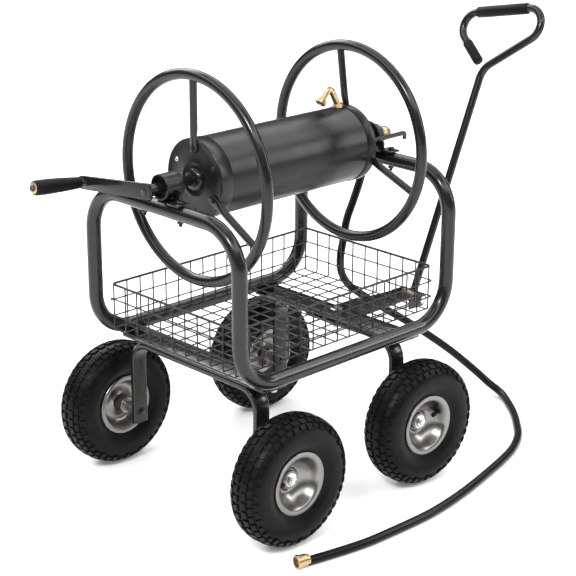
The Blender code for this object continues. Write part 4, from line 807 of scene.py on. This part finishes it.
def basket():
    """Welded wire basket with U shaped wires both ways and a heavier rim."""
    low_x, high_x, half, top = BASKET_FROM_X, BASKET_TO_X, BASKET_HALF_WIDTH, BASKET_TOP_Z
    wires = []
    for step in range(WIRES_ALONG_X + 1):
        x = low_x + (high_x - low_x) * step / WIRES_ALONG_X
        wires.append((u_shape(x, half, top, BASKET_BOTTOM_Z), X))
    for step in range(WIRES_ALONG_Y + 1):
        y = -half + 2.0 * half * step / WIRES_ALONG_Y
        bottom = BASKET_BOTTOM_Z + WIRE_STEP
        wires.append(([(low_x, y, top), (low_x, y, bottom), (high_x, y, bottom), (high_x, y, top)], Y))
    parts = [sweep(round_corners(corners, [0.0, 0.004, 0.004, 0.0], 3), circle(WIRE_R, 8), lead=lead)
             for corners, lead in wires]
    for z in (0.346, 0.379):
        for y in (-half - WIRE_STEP, half + WIRE_STEP):
            parts.append(rod((low_x - WIRE_OVERHANG, y, z), (high_x + WIRE_OVERHANG, y, z),
                             WIRE_R, 8, 0.0003))
        z += WIRE_STEP
        for x in (low_x - WIRE_STEP, high_x + WIRE_STEP):
            parts.append(rod((x, -half - WIRE_OVERHANG, z), (x, half + WIRE_OVERHANG, z),
                             WIRE_R, 8, 0.0003))
    low_x, high_x, half = low_x - 0.002, high_x + 0.002, half + 0.002
    rim = [(low_x, -half, top), (high_x, -half, top), (high_x, half, top), (low_x, half, top)]
    parts.append(sweep(round_corners(rim, [0.008] * 4, 5, closed=True), circle(0.0024, 12), closed=True))
    piece("basket_wire", merge(*parts), "wire", "chassis", "basket")


# ---- reel

REEL_HUB = (0.0, 0.0, REEL_Z)
DRUM_R = 0.0746
DRUM_FROM_X = -0.1967
DRUM_TO_X = 0.2012
DISC_THICKNESS = 0.004
HOOP_R = 0.1927
HOOP_TUBE_R = 0.0107
SPOKE_R = 0.0073
RIVET_RING_R = 0.057
SHAFT_FLANGE_R = 0.0225


def reel():
    """Drum, end discs, hoops, shafts and crank."""
    wall = [(DRUM_FROM_X, DRUM_R - 0.0025), (DRUM_FROM_X, DRUM_R), (DRUM_TO_X, DRUM_R),
            (DRUM_TO_X, DRUM_R - 0.0025)]
    piece("drum_shell", lathe(REEL_HUB, X, wall, 112), "drum", "reel", "drum")
    for label, face, outward, bore, band_width, ridge, rivet_phase, hoop_phase in (
            ("crank", DRUM_FROM_X - GAP, -1.0, 0.0098, 0.0235, 0.0052, 150.0, 90.0),
            ("inlet", DRUM_TO_X + GAP, 1.0, 0.0113, 0.0175, 0.0042, 142.0, 82.0)):
        disc_rivets(label, face, outward, radians(rivet_phase))
        disc(label, face, outward, bore, band_width, ridge)
        hoop(label, face + outward * (DISC_THICKNESS + GAP), outward, radians(hoop_phase))
    shafts()
    outlet()
    crank()


def disc(label, face, outward, bore, width, ridge):
    """Pressed end disc: rolled rim over the drum and a shallow ridge."""
    plate_x, rim_r, seat_r = DISC_THICKNESS, DRUM_R + 0.0012, DRUM_R + 0.0001
    profile = [(0.0, bore), (plate_x, bore), (plate_x, 0.029), (ridge, 0.031), (ridge, 0.033),
               (plate_x, 0.035), (plate_x, 0.066), (0.0046, 0.069), (0.0052, 0.0715),
               (0.005, 0.074), (0.0034, rim_r), (-width, rim_r), (-width - 0.0006, rim_r - 0.0004),
               (-width - 0.0006, seat_r), (0.0, seat_r)]
    turned = [(outward * along, radius) for along, radius in profile]
    piece("disc_" + label, lathe((face, 0.0, REEL_Z), X, turned, 112), "drum", "reel",
          "end_disc_" + label)


def disc_rivets(label, face, outward, phase):
    """Three rivet heads on the disc, one of them bright."""
    rivets = []
    for index in range(3):
        spoke = swing(Y, Z, phase + FULL_TURN * index / 3.0) * RIVET_RING_R
        seat = Vector((face + outward * 0.0038, 0.0, REEL_Z)) + spoke
        dome = mm((0, 0), (0, 4.8), (1.2, 4), (2, 2.2), (2.3, 0))
        rivets.append(lathe(seat, X * outward, dome, 20))
    piece("disc_rivets_" + label, merge(*rivets[:2]), "coat", "reel")
    piece("disc_rivet_bright_" + label, rivets[2], "zinc", "reel")


# Along a spoke: radius, width and thickness of its section, and its lift off the disc.
SPOKE_STATIONS = ((HOOP_R - 0.004, 1.0, 1.0, 0.0), (0.11, 1.0, 1.0, 0.0), (0.094, 1.0, 1.0, 0.0),
                  (0.086, 1.08, 0.8, 0.0008), (0.078, 1.2, 0.45, 0.0016),
                  (0.071, 1.28, 0.24, 0.002), (0.06, 1.3, 0.22, 0.002),
                  (0.053, 1.22, 0.22, 0.002), (0.05, 0.9, 0.22, 0.002))


def hoop(label, plane_x, outward, phase):
    """Hoop, three spokes with flattened feet, and their bolts."""
    centre = Vector((plane_x, 0.0, REEL_Z))
    path = [centre + swing(Y, Z, FULL_TURN * step / 96.0) * HOOP_R for step in range(96)]
    parts = [sweep(path, circle(HOOP_TUBE_R, 28), closed=True)]
    bolts = []
    aim = X * outward
    for index in range(3):
        turn = phase + FULL_TURN * index / 3.0
        radial, across = swing(Y, Z, turn), swing(Z, -Y, turn)
        spots = [centre + radial * radius + aim * lift for radius, _, _, lift in SPOKE_STATIONS]
        taper = [(wide, thick) for _, wide, thick, _ in SPOKE_STATIONS]
        parts.append(sweep(spots, circle(SPOKE_R, 20), lead=across, taper=taper))
        seat = centre + radial * 0.06 + aim * 0.0036
        bolts.append(washer_nut(seat, aim, (0.005, 0.001), 0.0075, 0.003, 20))
    piece("hoop_tube_" + label, merge(*parts), "coat", "reel", "hoop_" + label)
    piece("hoop_bolts_" + label, merge(*bolts), "coat", "reel")


def shafts():
    """Crank side shaft and hollow inlet shaft, each with the flange on its disc."""
    flange = ((0.0, SHAFT_FLANGE_R), (0.002, 0.0222), (0.006, 0.0195), (0.008, 0.015))
    face = DRUM_FROM_X - 2.0 * GAP - DISC_THICKNESS
    solid = [(-0.3207, 0.0), (-0.3207, 0.0066), (-0.3147, 0.0066), (-0.3147, 0.0095),
             (face - 0.008, 0.0095)]
    solid += [(face - along, radius) for along, radius in reversed(flange)]
    solid += [(face, 0.0095), (DRUM_FROM_X + 0.02, 0.0095), (DRUM_FROM_X + 0.02, 0.0)]
    piece("shaft_crank", lathe(REEL_HUB, X, solid, 36), "coat", "reel", "reel_shaft_crank")
    face = DRUM_TO_X + 2.0 * GAP + DISC_THICKNESS
    hollow = [(DRUM_TO_X - 0.008, 0.007), (DRUM_TO_X - 0.008, 0.011), (face, 0.011)]
    hollow += [(face + along, radius) for along, radius in flange]
    hollow += [(face + 0.008, 0.011), (0.2885, 0.011), (0.2885, 0.007)]
    piece("shaft_inlet", lathe(REEL_HUB, X, hollow, 36), "coat", "reel", "reel_shaft_inlet")


def outlet():
    """Brass elbow on the drum with its knurled hose nut."""
    foot, rise, collar, apex, tip = (Vector((x, 0.0, REEL_Z + z)) for x, z in (
        (0.174, DRUM_R + 0.0008), (0.174, DRUM_R + 0.004), (0.174, DRUM_R + 0.009),
        (0.15, 0.119), (0.126, 0.093)))
    aim = (tip - apex).normalized()
    bend = sweep(round_corners([rise, apex, tip], [0.0, 0.009, 0.0], 10), circle(0.0065, 24))
    nut_start = tip - aim * 0.006
    knurl = mm((0, 0), (0, 8.8), (0.6, 10.8), (2.6, 11), (3, 10.4), (6.2, 10.4), (6.6, 11), (9.4, 11),
               (10, 10.2), (10, 7.8), (6, 7.2), (6, 0))
    parts = [bend, hex_nut(foot, (collar - foot).normalized(), 0.019, 0.0085),
             lathe(nut_start, aim, knurl, 32)]
    wing_root = nut_start + aim * 0.005
    for side in (side_vectors(aim)[0], -side_vectors(aim)[0]):
        parts.append(rod(wing_root + side * 0.009, wing_root + side * 0.0135, 0.0028, 12))
    piece("outlet_brass", merge(*parts), "brass", "reel", "outlet_elbow")


CRANK_FACE_X = -0.315
CRANK_THICKNESS = 0.006
CRANK_KNOB = Vector((CRANK_FACE_X, 0.182, REEL_Z - 0.0205))
CRANK_TILT = radians(5.0)
CRANK_CORNER_R = 0.004
CRANK_END_R = 0.0128


def crank():
    """Crank arm, nut, spindle and turning grip."""
    hub = Vector((CRANK_FACE_X, 0.0, REEL_Z))
    tilted = turn_about(CRANK_KNOB, CRANK_TILT, "Y")
    along = (CRANK_KNOB - hub).normalized()
    across = X.cross(along)
    outline = []
    for side, start in ((1.0, 0.0), (-1.0, 90.0)):
        corner = hub - along * (0.0165 - CRANK_CORNER_R) + across * side * (0.015 - CRANK_CORNER_R)
        outline += arc(corner, across * side * CRANK_CORNER_R, -along * CRANK_CORNER_R,
                       start, 90.0 - start, 4)
    outline += arc(CRANK_KNOB, along * CRANK_END_R, across * CRANK_END_R, -90.0, 90.0, 16)
    piece("crank_bar", prism(outline, -X * CRANK_THICKNESS), "coat", "reel", "crank_arm", bevel=0.0012)
    face = CRANK_FACE_X - CRANK_THICKNESS
    nut = mm((0, 0), (0, 6.6), (0.8, 6.4), (1.2, 5), (1.4, 0))
    piece("crank_nut_black", lathe((face - GAP, 0.0, REEL_Z), -X, nut, 32), "coat", "reel", "crank_nut")

    def on_spindle(x):
        return Vector((x, CRANK_KNOB.y, CRANK_KNOB.z))

    grip_from = face - 0.0035
    grip_to = grip_from - 0.104
    grip = [(grip_from - along, radius) for along, radius in mm(
        (0, 4.8), (0, 9.8), (1, 10.8), (12, 11.5), (30, 12.6), (55, 13.8), (80, 14.5), (95, 14.4),
        (100, 14), (103, 13.2), (104, 12.2), (104, 4.8))]
    piece("crank_handle", lathe(on_spindle(0.0), X, grip, 44), "grip", "crank_handgrip",
          "crank_grip", tilted)
    head = on_spindle(CRANK_FACE_X + 0.0012)
    spindle = merge(rod(head, on_spindle(grip_to - 0.001), 0.0045, 20, 0.0),
                    hex_nut(head, X, 0.014, 0.005),
                    rod(on_spindle(face - 0.0011), on_spindle(face - 0.0032), 0.0088, 24, 0.0004))
    piece("crank_spindle", spindle, "zinc", "reel", "grip_spindle", tilted)
    washer = mm((0, 4.6), (0, 10.2), (0.4, 10.8), (1.2, 10.6), (1.4, 9.8), (1.4, 4.6))
    piece("crank_spindle_washer", lathe(on_spindle(grip_to - 0.0003), -X, washer, 36), "brass",
          "reel", None, tilted)
    piece("crank_spindle_nut", hex_nut(on_spindle(grip_to - 0.001), -X, 0.0105, 0.0045), "coat",
          "reel", None, tilted)


# ---- bearings, swivel, lock

BRACKET_THICKNESS = 0.004
BRACKET_FOOT_Z = FRAME_TOP_Z + FRAME_TUBE_R + GAP
HOUSING_CLEAR_R = 0.0246
LOCK_PIN_Y = -0.033
LOCK_PIN_Z = 0.6455
SWIVEL_HUB = Vector((0.309, 0.0, REEL_Z))
SWIVEL_SPOUT = Vector((0.309, 0.025, 0.615))


def bearings():
    """Bearing housings, saddle brackets and their bolts."""
    for label, from_x, web_x, shaft_r, side in (("crank", -0.285, -0.273, 0.0095, -1.0),
                                                ("inlet", 0.2465, 0.2615, 0.011, 1.0)):
        to_x, web_to_x = from_x + 0.04, web_x + 0.013
        profile = [(from_x, 0.0207), (from_x, 0.0235), (from_x + 0.0008, 0.0243),
                   (to_x - 0.0008, 0.0243), (to_x, 0.0235), (to_x, 0.0207), (web_to_x, 0.0203),
                   (web_to_x, shaft_r + GAP), (web_x, shaft_r + GAP), (web_x, 0.0203)]
        piece("housing_" + label, lathe(REEL_HUB, X, profile, 56), "drum", "chassis",
              "bearing_housing_" + label)
        rail_x = side * FRAME_HALF_LENGTH
        bracket(label, rail_x, -side)
        bracket_bolt(label + "_near", rail_x, -0.05)
        bracket_bolt(label + "_far", rail_x, 0.05)


def drill(plate_x, y, z, radius, sides):
    """Cylinder that cuts a hole through a bracket plate."""
    return lathe((plate_x - 0.02, y, z), X, [(0.0, 0.0), (0.0, radius), (0.04, radius), (0.04, 0.0)],
                 sides)


def bracket(label, rail_x, inward):
    """Plate that carries the housing, on two feet: a cradle at the crank, an arch at the inlet."""
    if label == "crank":
        plate_x = rail_x + inward * 0.0152
        outline = u_shape(plate_x, 0.034, BRACKET_FOOT_Z - 0.016, REEL_Z - 0.006)
        cuts = [drill(plate_x, 0.0, REEL_Z, HOUSING_CLEAR_R, 48)]
    else:
        plate_x = rail_x + inward * 0.014
        half, shoulder = 0.044, REEL_Z - 0.004
        outline = [(plate_x, -half, BRACKET_FOOT_Z), (plate_x, -half, shoulder)]
        outline += arc(Vector((plate_x, 0.0, REEL_Z + 0.004)), Y * 0.034, Z * 0.03, 180.0, 0.0, 12)
        outline += [(plate_x, half, shoulder), (plate_x, half, BRACKET_FOOT_Z)]
        slot = block((plate_x - 0.02, -HOUSING_CLEAR_R, BRACKET_FOOT_Z - 0.01),
                     (plate_x + 0.02, HOUSING_CLEAR_R, REEL_Z - 0.006))
        cuts = [drill(plate_x, 0.0, REEL_Z, HOUSING_CLEAR_R, 48), slot,
                drill(plate_x, LOCK_PIN_Y, LOCK_PIN_Z, 0.0056, 20)]
    piece("saddle_" + label, prism(outline, X * inward * BRACKET_THICKNESS), "coat", "chassis",
          "bearing_bracket_" + label, bevel=0.0007, cut=cuts)
    feet = []
    ends = sorted((rail_x - inward * 0.014, plate_x))
    for side in (-1.0, 1.0):
        near, far = sorted((side * (HOUSING_CLEAR_R + 0.004), side * 0.06))
        feet.append(block((ends[0], near, BRACKET_FOOT_Z),
                          (ends[1], far, BRACKET_FOOT_Z + BRACKET_THICKNESS)))
    piece("saddle_feet_" + label, merge(*feet), "coat", "chassis", bevel=0.001)


def bracket_bolt(label, x, y):
    """Bolt through the foot and the rail."""
    seat = Vector((x, y, BRACKET_FOOT_Z + BRACKET_THICKNESS + GAP))
    under = Vector((x, y, FRAME_TOP_Z - FRAME_TUBE_R - GAP))
    parts = [washer_nut(seat, Z, (0.0068, 0.001), 0.011, 0.0042),
             rod(seat, under, 0.0033, 16, 0.0), hex_nut(under, -Z, 0.011, 0.0042),
             threads(under - Z * 0.004, under - Z * 0.009, 0.0034)]
    piece("saddle_bolt_" + label, merge(*parts), "coat", "chassis", "bracket_bolt_" + label)


def swivel_and_lock():
    """Brass swivel with its spout, and the sliding lock pin."""
    turned = mm((288.8, 0), (288.8, 13.8), (289.8, 15), (295.8, 15.2), (296.8, 12.6), (298.8, 12.6),
                (299.8, 15), (312, 15.3), (316, 13.8), (319.5, 11.6), (322, 7.6), (323, 0))
    reach = SWIVEL_SPOUT - SWIVEL_HUB
    length = reach.length
    spout = [(0.0, 0.0), (0.0, 0.0088), (length - 0.016, 0.0088), (length - 0.015, 0.0095),
             (length - 0.004, 0.0095), (length - 0.003, 0.0086), (length, 0.0084), (length, 0.0)]
    body = merge(lathe(REEL_HUB, X, turned, 40), lathe(SWIVEL_HUB, reach.normalized(), spout, 32))
    piece("swivel_brass", body, "brass", "chassis", "inlet_swivel")
    corners = [(0.2125, LOCK_PIN_Y, LOCK_PIN_Z), (0.337, LOCK_PIN_Y, LOCK_PIN_Z),
               (0.337, LOCK_PIN_Y, LOCK_PIN_Z - 0.013)]
    path = round_corners(corners, [0.0, 0.0055, 0.0], 10)
    piece("lock_bar", sweep(path, rounded_bar(0.002, 0.0045, 0.0008), lead=Y), "coat",
          "reel_lock", "lock_pin")


# ---- leader hose

HOSE_R = 0.0086
HOSE_STRAIGHT = 0.024
HOSE_ROUTE = mm(
    (306, 50, 565), (304.5, 60, 528), (305, 77, 484), (306, 95, 440), (307, 106, 390),
    (308, 114, 348), (320, 120, 310), (344, 118, 276), (376, 100, 247), (412, 74, 217),
    (452, 47, 186), (498, 21, 148), (546, -6, 105), (588, -35, 60), (612, -66, 26), (613, -102, 11.5),
    *((x, y, 8.9) for x, y in (
        (585, -144), (550, -186), (511, -225), (463, -266), (406, -297), (346, -317), (266, -337),
        (189, -354), (122, -365), (60, -371), (0, -371), (-54, -369), (-106, -366), (-152, -359),
        (-196, -350), (-239, -340))))
COUPLING_Z = 0.0133


def hose_points():
    """Smooth curve through the route, straight where it leaves the spout."""
    out = (SWIVEL_SPOUT - SWIVEL_HUB).normalized()
    start = SWIVEL_SPOUT + out * GAP
    route = [start + out * HOSE_STRAIGHT] + [Vector(p) for p in HOSE_ROUTE]
    padded = [start] + route + [route[-1] * 2.0 - route[-2]]
    points = [start, start + out * HOSE_STRAIGHT * 0.5]
    for a, b, c, d in zip(padded, padded[1:], padded[2:], padded[3:]):
        for step in range(8):
            t = step / 8
            points.append(0.5 * ((2.0 * b) + (c - a) * t + (2.0 * a - 5.0 * b + 4.0 * c - d) * t * t
                                 + (3.0 * b - a - 3.0 * c + d) * t * t * t))
    points.append(route[-1])
    return points


def leader_hose():
    """Leader hose with a crimp sleeve and the brass coupling on its end."""
    points = hose_points()
    curve = bpy.data.curves.new("leader_hose_rubber", "CURVE")
    curve.dimensions = "3D"
    curve.bevel_depth = HOSE_R
    curve.bevel_resolution = 6
    curve.use_fill_caps = True
    spline = curve.splines.new("POLY")
    spline.points.add(len(points) - 1)
    for spot, point in zip(spline.points, points):
        spot.co = (*(TO_ROW @ point), 1.0)
    tube = add_object("leader_hose_rubber", curve)
    curve.materials.append(FINISHES["hose"])
    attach(tube, "chassis")
    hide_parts("leader_hose")
    end = points[-1]
    aim = end - points[-2]
    aim = Vector((aim.x, aim.y, 0.0)).normalized()
    profile = mm((0, 0), (0, 9.2), (0.5, 9.8), (5.5, 9.8), (6, 10.8), (6.6, 11.4))
    for step in range(6):
        groove = step * 1.9
        profile += mm((7.8 + groove, 11.4), (8.4 + groove, 10.9), (9.1 + groove, 10.9))
    profile += mm((19.5, 11.6), (20, 13), (25.4, 13), (26, 12.4), (26, 9.8), (22.5, 9.5), (16, 9.5),
                  (16, 0))
    seat = Vector((end.x, end.y, COUPLING_Z)) + aim * GAP
    fitting = piece("hose_coupling", lathe(seat, aim, profile, 44), "brass", "chassis", "hose_fitting")


# ---- floor and assembly

def floor():
    """Plain pale floor that glows a little, to stay white behind the cart."""
    size = 40.0
    mesh = bpy.data.meshes.new("floor")
    mesh.from_pydata([(-size, -size, 0.0), (size, -size, 0.0), (size, size, 0.0), (-size, size, 0.0)],
                     [], [(0, 1, 2, 3)])
    ground = add_object("floor", mesh)
    mesh.materials.append(FINISHES["floor"])
    shader = FINISHES["floor"].node_tree.nodes["Principled BSDF"].inputs
    shader["Emission Color"].default_value = (1.0, 1.0, 1.0, 1.0)
    shader["Emission Strength"].default_value = FLOOR_GLOW


def dress_feed_pipe():
    """The feed pipe keeps its CAD shape and takes the brass finish."""
    materials = bpy.data.objects["feed_pipe"].data.materials
    materials.clear()
    materials.append(FINISHES["brass"])


aim_camera()
light_studio()
FINISHES = {short: make_finish(*values) for short, values in FINISH_VALUES.items()}
leader_hose()
chassis()
wheels()
tongue()
kingpin()
pull_handle()
basket()
reel()
bearings()
swivel_and_lock()
dress_feed_pipe()
floor()
